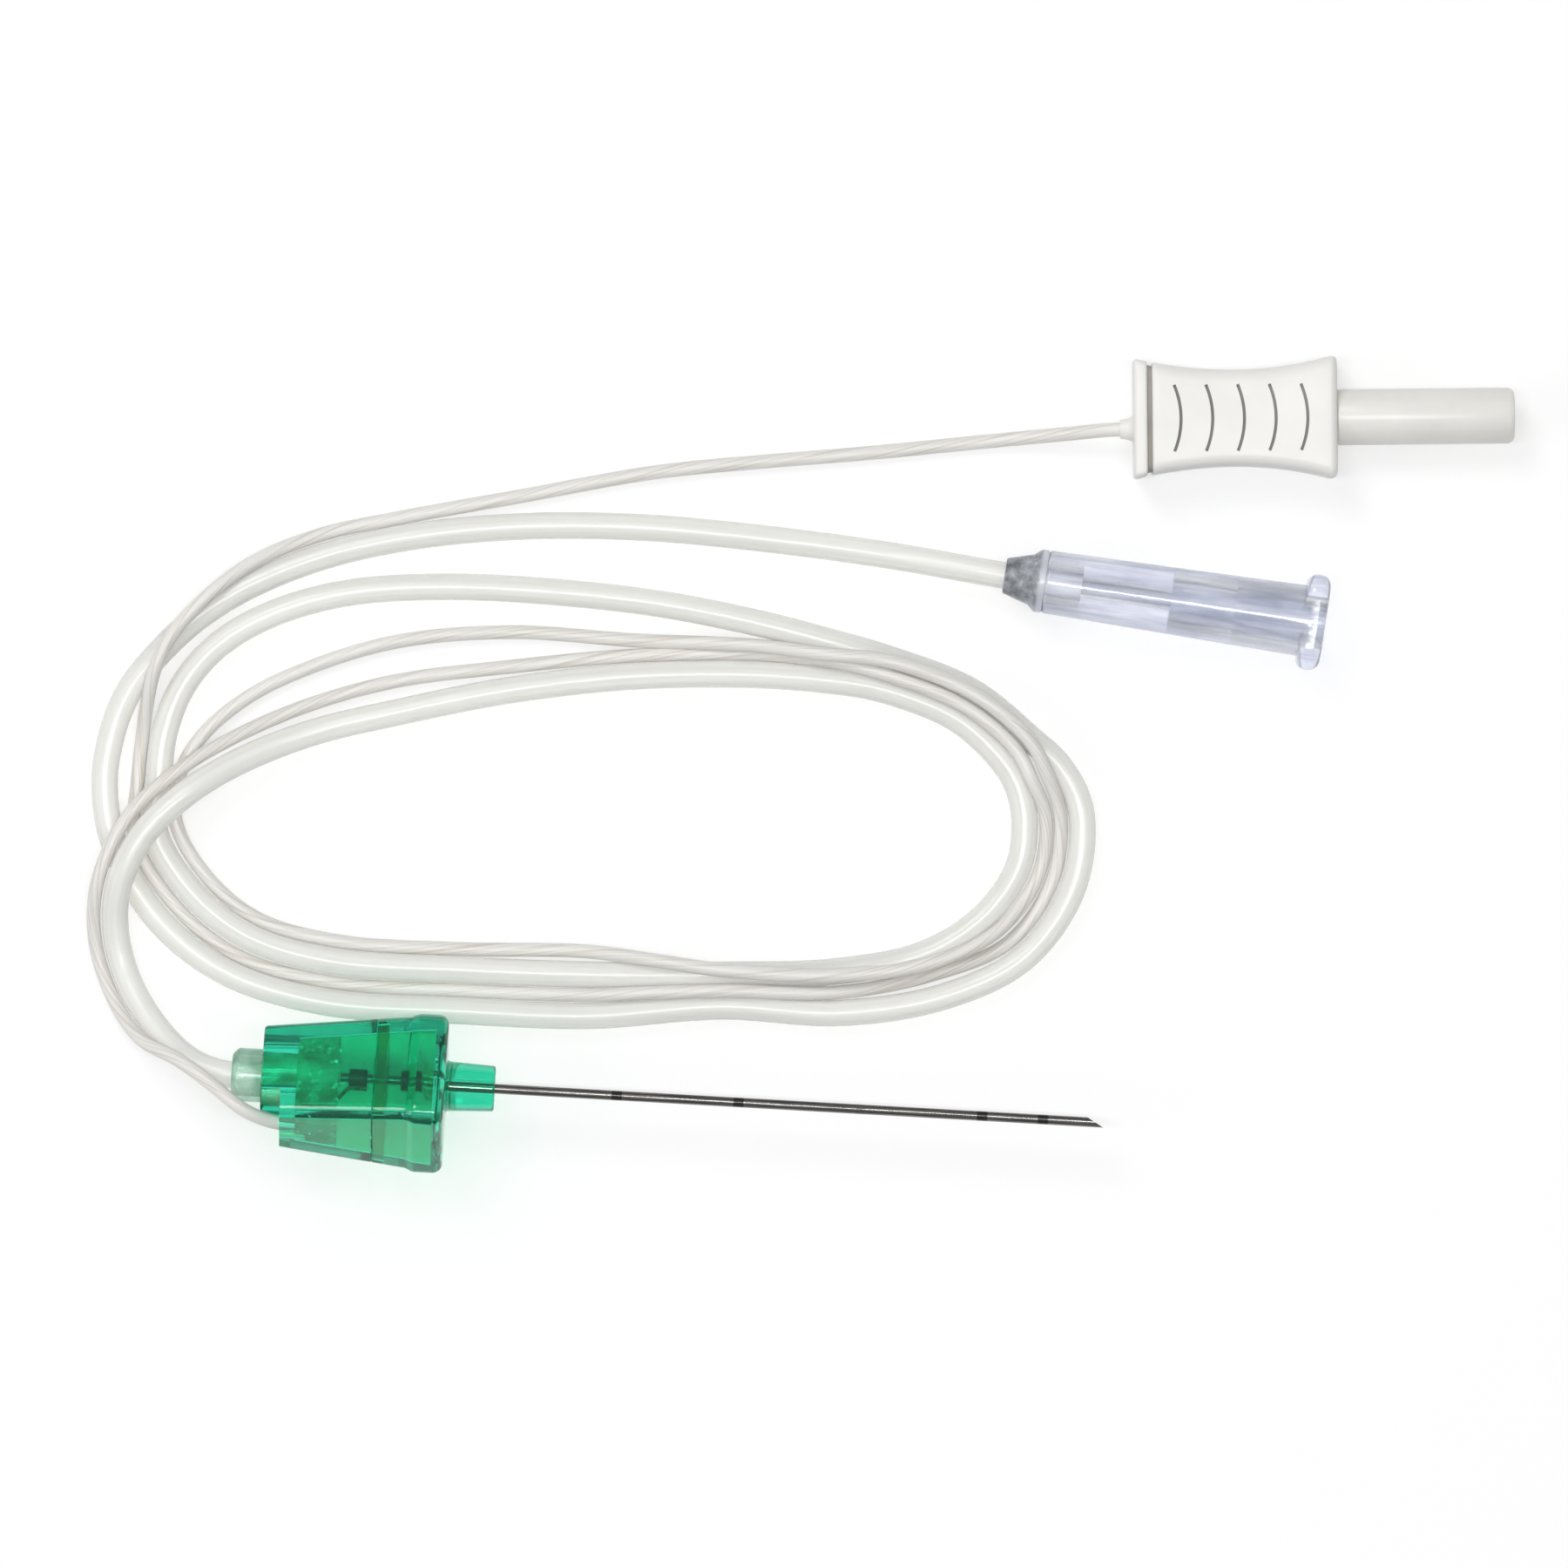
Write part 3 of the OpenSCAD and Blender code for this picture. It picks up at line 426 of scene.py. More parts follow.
def cord_tree():
    """Node tree that gives a line a round section, with a map of the angle round it and the way along it."""
    tree = bpy.data.node_groups.new("round cord", "GeometryNodeTree")
    face = tree.interface
    face.new_socket("Line", in_out="INPUT", socket_type="NodeSocketGeometry")
    for name in ("Radius", "Ring spacing", "Turns per metre"):
        face.new_socket(name, in_out="INPUT", socket_type="NodeSocketFloat")
    face.new_socket("Sides", in_out="INPUT", socket_type="NodeSocketInt")
    face.new_socket("Material", in_out="INPUT", socket_type="NodeSocketMaterial")
    face.new_socket("Cord", in_out="OUTPUT", socket_type="NodeSocketGeometry")
    given = put(tree, "NodeGroupInput")
    curve = put(tree, "GeometryNodeMeshToCurve", {0: given.outputs["Line"]})
    rings = put(tree, "GeometryNodeResampleCurve", {"Curve": curve.outputs[0], "Length": given.outputs["Ring spacing"]},
                mode="LENGTH")
    way = put(tree, "GeometryNodeSplineParameter")
    kept = put(tree, "GeometryNodeCaptureAttribute", domain="POINT")
    kept.capture_items.new("FLOAT", "Way")
    tree.links.new(rings.outputs[0], kept.inputs[0])
    tree.links.new(way.outputs["Length"], kept.inputs[1])
    section = put(tree, "GeometryNodeCurvePrimitiveCircle", {
        "Resolution": given.outputs["Sides"], "Radius": given.outputs["Radius"]}, mode="RADIUS")
    around = put(tree, "GeometryNodeSplineParameter")
    kept_around = put(tree, "GeometryNodeCaptureAttribute", domain="POINT")
    kept_around.capture_items.new("FLOAT", "Around")
    tree.links.new(section.outputs[0], kept_around.inputs[0])
    tree.links.new(around.outputs["Factor"], kept_around.inputs[1])
    body = put(tree, "GeometryNodeCurveToMesh", {
        "Curve": kept.outputs[0], "Profile Curve": kept_around.outputs[0], "Fill Caps": True})
    turn = put(tree, "ShaderNodeMath", {
        0: kept.outputs[1], 1: given.outputs["Turns per metre"], 2: kept_around.outputs[1]}, operation="MULTIPLY_ADD")
    angle = put(tree, "ShaderNodeMath", {0: turn.outputs[0], 1: 2 * pi}, operation="MULTIPLY")
    x = put(tree, "ShaderNodeMath", {0: angle.outputs[0]}, operation="COSINE")
    y = put(tree, "ShaderNodeMath", {0: angle.outputs[0]}, operation="SINE")
    lay = put(tree, "ShaderNodeCombineXYZ", {0: x.outputs[0], 1: y.outputs[0], 2: kept.outputs[1]})
    stored = put(tree, "GeometryNodeStoreNamedAttribute", {
        "Geometry": body.outputs[0], "Name": "lay", "Value": lay.outputs[0]}, data_type="FLOAT_VECTOR", domain="POINT")
    smooth = put(tree, "GeometryNodeSetShadeSmooth", {"Geometry": stored.outputs[0], "Shade Smooth": True})
    real = put(tree, "GeometryNodeRealizeInstances", {0: smooth.outputs[0]})
    dressed = put(tree, "GeometryNodeSetMaterial", {"Geometry": real.outputs[0], "Material": given.outputs["Material"]})
    put(tree, "NodeGroupOutput", {"Cord": dressed.outputs[0]})
    return tree


def bubble_tree():
    """Node tree that scatters small spheres just under a surface."""
    tree = bpy.data.node_groups.new("bubbles", "GeometryNodeTree")
    face = tree.interface
    face.new_socket("Surface", in_out="INPUT", socket_type="NodeSocketGeometry")
    for name in ("Density", "Largest radius", "Depth"):
        face.new_socket(name, in_out="INPUT", socket_type="NodeSocketFloat")
    face.new_socket("Seed", in_out="INPUT", socket_type="NodeSocketInt")
    face.new_socket("Material", in_out="INPUT", socket_type="NodeSocketMaterial")
    face.new_socket("Bubbles", in_out="OUTPUT", socket_type="NodeSocketGeometry")
    given = put(tree, "NodeGroupInput")
    spots = put(tree, "GeometryNodeDistributePointsOnFaces", {
        "Mesh": given.outputs["Surface"], "Density": given.outputs["Density"], "Seed": given.outputs["Seed"]})
    inward = put(tree, "ShaderNodeVectorMath", {0: spots.outputs["Normal"]}, operation="SCALE")
    deep = put(tree, "FunctionNodeRandomValue", {2: -1.0, 3: -0.35, "Seed": given.outputs["Seed"]}, data_type="FLOAT")
    reach = put(tree, "ShaderNodeMath", {0: deep.outputs[1], 1: given.outputs["Depth"]}, operation="MULTIPLY")
    tree.links.new(reach.outputs[0], inward.inputs["Scale"])
    moved = put(tree, "GeometryNodeSetPosition", {"Geometry": spots.outputs[0], "Offset": inward.outputs[0]})
    ball = put(tree, "GeometryNodeMeshIcoSphere", {"Radius": given.outputs["Largest radius"], "Subdivisions": 3})
    size = put(tree, "FunctionNodeRandomValue", {2: 0.25, 3: 1.0, "Seed": given.outputs["Seed"]}, data_type="FLOAT")
    balls = put(tree, "GeometryNodeInstanceOnPoints", {
        "Points": moved.outputs[0], "Instance": ball.outputs[0], "Scale": size.outputs[1]})
    real = put(tree, "GeometryNodeRealizeInstances", {0: balls.outputs[0]})
    smooth = put(tree, "GeometryNodeSetShadeSmooth", {"Geometry": real.outputs[0], "Shade Smooth": True})
    dressed = put(tree, "GeometryNodeSetMaterial", {
        "Geometry": smooth.outputs[0], "Material": given.outputs["Material"]})
    put(tree, "NodeGroupOutput", {"Bubbles": dressed.outputs[0]})
    return tree


def as_piece(name, mesh):
    """An object of that mesh in the scene."""
    mesh.name = name
    piece = bpy.data.objects.new(name, mesh)
    bpy.context.scene.collection.objects.link(piece)
    return piece


def apply_modifiers(piece):
    """Turns a piece and its modifiers into a plain mesh."""
    shown = piece.evaluated_get(bpy.context.evaluated_depsgraph_get())
    mesh = bpy.data.meshes.new_from_object(shown)
    piece.modifiers.clear()
    piece.data = mesh
    mesh.name = piece.name


def grown(name, base, tree, values):
    """The plain mesh piece that a node tree makes of a base mesh."""
    piece = as_piece(name, base)
    modifier = piece.modifiers.new("Nodes", "NODES")
    modifier.node_group = tree
    for item in tree.interface.items_tree:
        if item.in_out == "INPUT" and item.name in values:
            modifier[item.identifier] = values[item.name]
    apply_modifiers(piece)
    return piece


def outline(half_x, half_y, radius, arc=10, side=6):
    """Points of a rounded rectangle, always of the same number."""
    radius = max(min(radius, half_x, half_y), 0.01)
    signs = ((1, 1), (-1, 1), (-1, -1), (1, -1))
    points = []
    for k, (sx, sy) in enumerate(signs):
        for j in range(arc + 1):
            angle = pi / 2 * (k + j / arc)
            points.append(Vector((
                sx * (half_x - radius) + radius * cos(angle), sy * (half_y - radius) + radius * sin(angle))))
        nx, ny = signs[(k + 1) % 4]
        angle = pi / 2 * (k + 1)
        start = points[-1]
        stop = Vector((nx * (half_x - radius) + radius * cos(angle), ny * (half_y - radius) + radius * sin(angle)))
        points += [start.lerp(stop, j / side) for j in range(1, side)]
    return points


def circle(radius, arc=10, side=6):
    """Points of a circle that match those of an outline."""
    count = arc + side
    angles = [pi / 4 + pi / 2 * (k - arc / 2) / count for k in range(4 * count)]
    return [Vector((radius * cos(a), radius * sin(a))) for a in angles]


def loft(name, rings, joined=False):
    """A closed piece through rings of equal count, with its ends capped or joined to each other."""
    form = bmesh.new()
    rows = [[form.verts.new(p) for p in ring] for ring in rings]
    pairs = list(zip(rows, rows[1:]))
    if joined:
        pairs.append((rows[-1], rows[0]))
    else:
        form.faces.new(rows[0][::-1])
        form.faces.new(rows[-1])
    for low, high in pairs:
        for i in range(len(low)):
            k = (i + 1) % len(low)
            form.faces.new((low[i], low[k], high[k], high[i]))
    bmesh.ops.recalc_face_normals(form, faces=form.faces)
    mesh = bpy.data.meshes.new(name)
    form.to_mesh(mesh)
    form.free()
    return as_piece(name, mesh)


def turned(name, place, profile, sides=96, joined=False):
    """A piece turned about the line that place gives, from a profile of radius and way along it."""
    angles = [2 * pi * k / sides for k in range(sides)]
    return loft(name, [[place(x, r * cos(a), r * sin(a)) for a in angles] for r, x in profile], joined)


def carve(piece, tools, operation="DIFFERENCE"):
    """Cuts the tools out of a piece, or joins them to it, and takes them away."""
    for tool in tools:
        modifier = piece.modifiers.new("Cut", "BOOLEAN")
        modifier.operation = operation
        modifier.solver = "EXACT"
        modifier.object = tool
        apply_modifiers(piece)
        bpy.data.objects.remove(tool)


def smooth_by_angle(piece, angle=28):
    """Shades a piece smooth, apart from its sharp edges."""
    piece.data.shade_smooth()
    piece.data.set_sharp_from_angle(angle=radians(angle))
    return piece


def softened(node, name, width, segments=3, turn=30):
    """A copy of a CAD node's form, with its moulded edges rounded and its curves smooth."""
    mesh = NODES[node].data.copy()
    mesh.materials.clear()
    form = bmesh.new()
    form.from_mesh(mesh)
    bmesh.ops.remove_doubles(form, verts=form.verts, dist=2e-6)
    bmesh.ops.dissolve_limit(form, angle_limit=radians(0.6), verts=form.verts, edges=form.edges)
    form.to_mesh(mesh)
    form.free()
    for old in ("custom_normal", "sharp_edge", "sharp_face"):
        if old in mesh.attributes:
            mesh.attributes.remove(mesh.attributes[old])
    piece = as_piece(name, mesh)
    if width:
        bevel = piece.modifiers.new("Edges", "BEVEL")
        bevel.width = width
        bevel.segments = segments
        bevel.limit_method = "ANGLE"
        bevel.angle_limit = radians(turn)
        bevel.miter_outer = "MITER_ARC"
        apply_modifiers(piece)
    return smooth_by_angle(piece)


def dress(piece, material, slot, *nodes):
    """Gives a piece its material, puts it on the body and lets it stand for its nodes; the slot is not used."""
    piece.data.materials.clear()
    piece.data.materials.append(material)
    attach(piece, "root")
    if nodes:
        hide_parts(*nodes)
    return piece


# Stations of the hub along its axis, from the nose's front face, in millimetres
REAR, END_WALL, JOINT, FLANGE_REAR, FLANGE_FRONT = -19.1, -16.1, -9.8, -6.5, -4.0
BODY_SHIFT = -0.8
SHELL_WALL = 1.2


def body_ring(z, inset=0.0, radius=0.9):
    """Ring of the hub's flared body at a station."""
    t = (z - REAR) / (FLANGE_REAR - REAR)
    across, up = 4.3 + 0.55 * t - inset, 2.85 + 2 * t - inset
    return [hub_point(p.x + BODY_SHIFT, p.y, z) for p in outline(across, up, max(radius - inset, 0.3))]


def flange_ring(z, half, radius):
    """Ring of the hub's square flange."""
    return [hub_point(p.x + BODY_SHIFT, p.y, z) for p in outline(half, half, radius)]


def round_ring(z, radius):
    """Ring of the hub's nose or of a bore, round the needle."""
    return [hub_point(p.x, p.y, z) for p in circle(radius)]


def quarter(steps=6):
    """Pairs of sine and cosine over a quarter turn."""
    return [(sin(pi / 2 * i / steps), cos(pi / 2 * i / steps)) for i in range(steps + 1)]


def front_shell_rings(rim):
    """Rings of the hub's front half: body, swept up to the flange, rounded rim, nose, needle bore, inside."""
    rings = [body_ring(JOINT, 0.07), body_ring(JOINT + 0.07), body_ring(JOINT + 1), body_ring(-7.7)]
    start, stop = -7.15, -6.25
    for i in range(9):
        t = i / 8
        rise = t * t * (3 - 2 * t)
        z = start + (stop - start) * t
        body = 4.3 + 0.55 * (z - REAR) / (FLANGE_REAR - REAR)
        up = 2.85 + 2 * (z - REAR) / (FLANGE_REAR - REAR)
        across = body + (5.15 - body) * rise
        high = up + (5.15 - up) * rise
        rings.append([hub_point(p.x + BODY_SHIFT, p.y, z) for p in outline(across, high, 0.9 + 0.5 * rise)])
    for s, c in quarter():
        rings.append(flange_ring(FLANGE_FRONT - rim + rim * s, 5.15 - rim * (1 - c), 1.4 - rim * (1 - c)))
    for s, c in quarter(4):
        rings.append(round_ring(FLANGE_FRONT + 0.3 * (1 - c), 2.04 + 0.3 * (1 - s)))
    for s, c in quarter(4):
        rings.append(round_ring(-0.22 + 0.22 * s, 1.875 - 0.22 * (1 - c)))
    rings += [round_ring(0, 0.47), round_ring(-0.08, 0.4125), round_ring(-6.2, 0.4125), round_ring(-6.2, 1.42)]
    rings += [round_ring(-6.12, 1.5), round_ring(-5.2, 1.5), round_ring(-5, 1.7)]
    rings += [body_ring(-5, SHELL_WALL), body_ring(JOINT + 1.05, SHELL_WALL), body_ring(JOINT + 1.05, 0.6)]
    rings.append(body_ring(JOINT, 0.6))
    return rings


def rear_housing_rings():
    """Rings of the hub's rear half: rounded end, body, joint, lip, inside and the gland's bore."""
    rings = [body_ring(REAR + 0.25 * (1 - c), 0.25 * (1 - s)) for s, c in quarter(5)]
    rings += [body_ring(z) for z in (-17.4, -15, -12.5, JOINT - 0.07)]
    rings += [body_ring(JOINT, 0.07), body_ring(JOINT, 0.65), body_ring(JOINT + 0.95, 0.65)]
    rings += [body_ring(JOINT + 1, 0.7), body_ring(JOINT + 1, SHELL_WALL), body_ring(END_WALL, SHELL_WALL)]
    rings += [round_ring(END_WALL, 2.225), round_ring(REAR + 0.1, 2.225), round_ring(REAR, 2.32)]
    return rings


def lead_notch():
    """Tools that open the notch and the hole for the lead in the rear half."""
    corners = [(-9, -9), (-2.85, -9), (-2.85, 9), (-9, 9)]
    notch = loft("notch", [[hub_point(u, v, z) for u, v in corners] for z in (REAR - 0.5, REAR + 1.7)])
    angles = [2 * pi * k / 32 for k in range(32)]
    hole = loft("hole", [
        [hub_point(-3.55 + 0.6 * cos(a), -1.4 + 0.6 * sin(a), z) for a in angles] for z in (REAR - 0.5, -15.25)])
    return notch, hole


def grip_half(x):
    """Half the grip's height at a place along it, in millimetres."""
    t = 2 * x / 16.7 - 1
    return 3.95 + (1.0 if t < 0 else 1.2) * t * t


def grip_rings(rounding):
    """Rings of the grip: rear plate, recess, waisted body with rounded long edges, and front rim."""
    rows = []
    for s, c in quarter(4):
        rows.append((0.3 * (1 - c), 0.3 * (1 - s), 0.3 * (1 - s), 0.5))
    for s, c in quarter(3):
        rows.append((0.9 + 0.2 * s, 0.2 * (1 - c), 0.2 * (1 - c), 0.5))
    rows += [(1.1, 0.3, 0.4, 0.5), (1.5, 0.3, 0.4, 0.6)]
    for s, c in quarter(3):
        rows.append((1.5 + 0.2 * (1 - c), 0.2 * (1 - s), 0.2 * (1 - s), rounding))
    rows += [(1.7 + (16.1 - 1.7) * i / 24, 0, 0, rounding) for i in range(1, 24)]
    for s, c in quarter(5):
        rows.append((16.1 + 0.6 * s, 0.6 * (1 - c), 0.6 * (1 - c), rounding))
    return [[plug_point(x, p.x, p.y) for p in outline(grip_half(x) - iy, 3 - iz, radius)]
            for x, iy, iz, radius in rows]


def groove_tools():
    """Curved cutters of the finger grooves on both faces of the grip."""
    sag, reach, wide = 0.55, 5.45, 0.125
    bend = (reach * reach / 4 + sag * sag) / (2 * sag)
    most = asin(reach / 2 / bend)
    tools = []
    for i in range(5):
        for side in (-1, 1):
            rings = []
            for k in range(17):
                angle = most * (k / 8 - 1)
                ring = []
                for r, z in ((bend - wide, 2.7), (bend + wide, 2.7), (bend + wide, 3.3), (bend - wide, 3.3)):
                    ring.append(plug_point(3.3 + 2.6 * i - bend + sag + r * cos(angle), r * sin(angle), side * z))
                rings.append(ring)
            tools.append(loft("groove tool", rings))
    return tools


class NEEDLE_OT_camera(bpy.types.Operator):
    """Sets the camera straight above the set"""
    bl_idname = "needle.camera"
    bl_label = "Camera"

    def execute(self, context):
        data = bpy.data.cameras.new("camera")
        data.sensor_width = 36
        data.lens = 334.3
        data.clip_end = 10
        camera = bpy.data.objects.new("camera", data)
        context.scene.collection.objects.link(camera)
        camera.location = (8.06 * MM, 26.97 * MM, 1.2)
        camera.rotation_euler = (0, 0, radians(3.21))
        context.scene.camera = camera
        return {"FINISHED"}


class NEEDLE_OT_cords(bpy.types.Operator):
    """Lays the infusion tube and the lead along their routes"""
    bl_idname = "needle.cords"
    bl_label = "Tube and lead"

    def execute(self, context):
        sizes, colours = context.scene.needle_sizes, context.scene.needle_colours
        tree = cord_tree()
        for name, route, width, material, slot, node, turns in (
            ("Infusion_tube", TUBE_ROUTE, sizes.tube_diameter, tube_pvc(sizes, colours), "tube_pvc",
             "infusion_tube", 0.0),
            ("Lead", LEAD_ROUTE, sizes.lead_diameter, lead_insulation(sizes, colours), "cable_white",
             "lead_cable", 45.0),
        ):
            line = smooth_route(route, width / 2)
            base = bpy.data.meshes.new(name + " line")
            base.from_pydata(line, [(i, i + 1) for i in range(len(line) - 1)], [])
            piece = grown(name, base, tree, {
                "Radius": width / 2, "Ring spacing": sizes.ring_spacing, "Turns per metre": turns,
                "Sides": sizes.cord_sides, "Material": material})
            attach(piece, "root")
            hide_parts(node)
            context.scene["line " + node] = [c for p in line for c in p]
        return {"FINISHED"}


class NEEDLE_OT_shaft(bpy.types.Operator):
    """Makes the needle with its short bevel"""
    bl_idname = "needle.shaft"
    bl_label = "Needle"

    def execute(self, context):
        sizes, colours = context.scene.needle_sizes, context.scene.needle_colours
        dress(softened("cannula", "Needle", 0), needle_steel(sizes, colours), "needle_steel", "cannula")
        return {"FINISHED"}


class NEEDLE_OT_hub(bpy.types.Operator):
    """Makes the two halves of the see-through hub and the clear gland"""
    bl_idname = "needle.hub"
    bl_label = "Hub"

    def execute(self, context):
        sizes, colours = context.scene.needle_sizes, context.scene.needle_colours
        green = hub_plastic(sizes, colours)
        front = loft("Front_shell", front_shell_rings(sizes.flange_rim / MM), joined=True)
        dress(smooth_by_angle(front), green, "hub_green", "front_shell")
        rear = loft("Rear_housing", rear_housing_rings(), joined=True)
        carve(rear, lead_notch())
        dress(smooth_by_angle(rear), green, "hub_green", "rear_housing")
        gland = clear_plastic("pale green clear elastomer", "#CFEBDD", "#7DAE97", 0.16, 500, 0.7, "#DDF0E6")
        dress(softened("tube_gland", "Gland", 0.12 * MM), gland, "gland_clear", "tube_gland")
        return {"FINISHED"}


class NEEDLE_OT_inside(bpy.types.Operator):
    """Makes what shows through the hub: block, adhesive with bubbles, sleeve, collar and wire"""
    bl_idname = "needle.inside"
    bl_label = "Inside the hub"

    def execute(self, context):
        sizes = context.scene.needle_sizes
        clear = clear_plastic("clear moulded block", "#F2FBF7", "#D6EFE5", 0.06, 700, 0.75, "#F2FBF7")
        dress(softened("flow_block", "Flow_block", 0.1 * MM), clear, "block_clear", "flow_block")
        resin = clear_plastic("cured clear adhesive", "#93DCC8", "#3B9478", 0.1, 650, 0.72, "#D6F3E6", 1.0)
        potting = dress(softened("potting", "Adhesive", 0.1 * MM), resin, "resin_green", "potting")
        # Painted highlight: the bubbles get a white, half-opaque skin so that they show as bright glints
        painted_glint_skin = clear_plastic("air bubbles with painted white glints", "#FFFFFF", "#E2FFF4", 0.04, 2000, 0.5, "#FFFFFF")
        bubbles = grown("Bubbles", potting.data.copy(), bubble_tree(), {
            "Density": 420000.0, "Largest radius": sizes.bubble_size, "Depth": 0.55 * MM, "Seed": 7,
            "Material": painted_glint_skin})
        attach(bubbles, "root")
        dull = turned_metal("crimped blackened steel", "#3A3A38", "#1C1A18", 0.4)
        dress(softened("contact_sleeve", "Contact_sleeve", 0.06 * MM), dull, "dark_metal", "contact_sleeve")
        dress(softened("stop_collar", "Stop_collar", 0.06 * MM), dull, "dark_metal", "stop_collar")
        copper = turned_metal("tinned copper strands", "#C9A48C", "#8B5A41", 0.3)
        dress(softened("lead_conductor", "Wire", 0), copper, "wire_copper", "lead_conductor")
        return {"FINISHED"}


class NEEDLE_OT_connector(bpy.types.Operator):
    """Makes the clear connector with its two lugs, and its sleeve"""
    bl_idname = "needle.connector"
    bl_label = "Luer connector"

    def execute(self, context):
        colours = context.scene.needle_colours
        rear, end = 3.4, 26.6
        outer = [(2.6 - 0.25 * (1 - s), rear + 0.25 * (1 - c)) for s, c in quarter(4)]
        outer += [(2.6 + 0.35 * t / 8, rear + (end - 0.6 - rear) * t / 8) for t in range(1, 8)]
        outer += [(2.95 - 0.3 * (1 - c), end - 0.9 + 0.3 * s) for s, c in quarter(4)]
        body = turned("Luer_body", luer_point, outer)
        rim = 0.8
        rows = [(end - 1.9 + rim * (1 - c), rim * (1 - s)) for s, c in quarter(5)]
        rows += [(end - rim + rim * s, rim * (1 - c)) for s, c in quarter(5)]
        lugs = loft("lugs", [
            [luer_point(x, p.x, p.y) for p in outline(3.925 - i, 2.95 - i * 0.6, 1.7 - i * 0.6)] for x, i in rows])
        carve(body, [lugs], "UNION")
        bore = [(1.15, rear - 0.5), (1.15, 6.4), (0.55, 6.4), (0.55, 13.8), (1.725, 13.8), (1.725, 19.1)]
        bore += [(1.925, 19.1), (2.15, end), (2.35, end + 0.2)]
        carve(body, [turned("bore", luer_point, bore, 64)])
        dress(smooth_by_angle(body), luer_plastic(colours), "luer_clear", "luer_body")
        dress(softened("luer_sleeve", "Luer_sleeve", 0.12 * MM), sleeve_plastic(), "sleeve_grey", "luer_sleeve")
        return {"FINISHED"}


class NEEDLE_OT_plug(bpy.types.Operator):
    """Makes the plug: grip with grey painted shade in its grooves and recess, shroud and socket"""
    bl_idname = "needle.plug"
    bl_label = "Plug"

    def execute(self, context):
        sizes, colours = context.scene.needle_sizes, context.scene.needle_colours
        grip = loft("Grip", grip_rings(sizes.grip_rounding / MM))
        neck = [(0.75, -1.1), (0.78, -1.0), (0.85, -0.6), (0.98, -0.2), (1.15, 0.05), (1.15, 0.5)]
        carve(grip, [turned("neck", lambda x, y, z: plug_point(x, y - 0.8, z), neck, 40)], "UNION")
        carve(grip, groove_tools())
        hole = [(0.6, -2), (0.6, 5)]
        carve(grip, [turned("hole", lambda x, y, z: plug_point(x, y - 0.8, z), hole, 32)])
        seat = [(1.125, 12.7), (1.125, 17.5)]
        carve(grip, [turned("seat", plug_point, seat, 48)])
        dress(smooth_by_angle(grip, 35), moulded_plastic("white satin ABS", colours.grip, 0.38, 0.97),
              "grip_white", "plug_grip")
        # Painted shade: the finger grooves and the recess behind the rear plate get a darker grey material that stands
        # in for the shade in them
        grip.data.materials.append(moulded_plastic("painted shade in the grooves and recess", linear("#A39E98"), 0.6, 0.8))
        back = Matrix.Rotation(-PLUG_TURN, 3, "Z")
        for face in grip.data.polygons:
            spot = back @ (face.center - PLUG_AT) / MM
            groove_shade_faces = 2.6 < abs(spot.z) < 2.97 and abs(spot.y) < 2.8 and 2.5 < spot.x < 15
            if groove_shade_faces or 1.12 < spot.x < 1.48:
                face.material_index = 1
        shroud = moulded_plastic("light grey polypropylene", colours.shroud, 0.3, 0.94)
        dress(softened("plug_shroud", "Shroud", 0.2 * MM), shroud, "shroud_grey", "plug_shroud")
        brass = turned_metal("turned brass", "#E2C374", "#A88643", 0.22)
        dress(softened("plug_contact", "Socket", 0.06 * MM), brass, "contact_brass", "plug_contact")
        return {"FINISHED"}


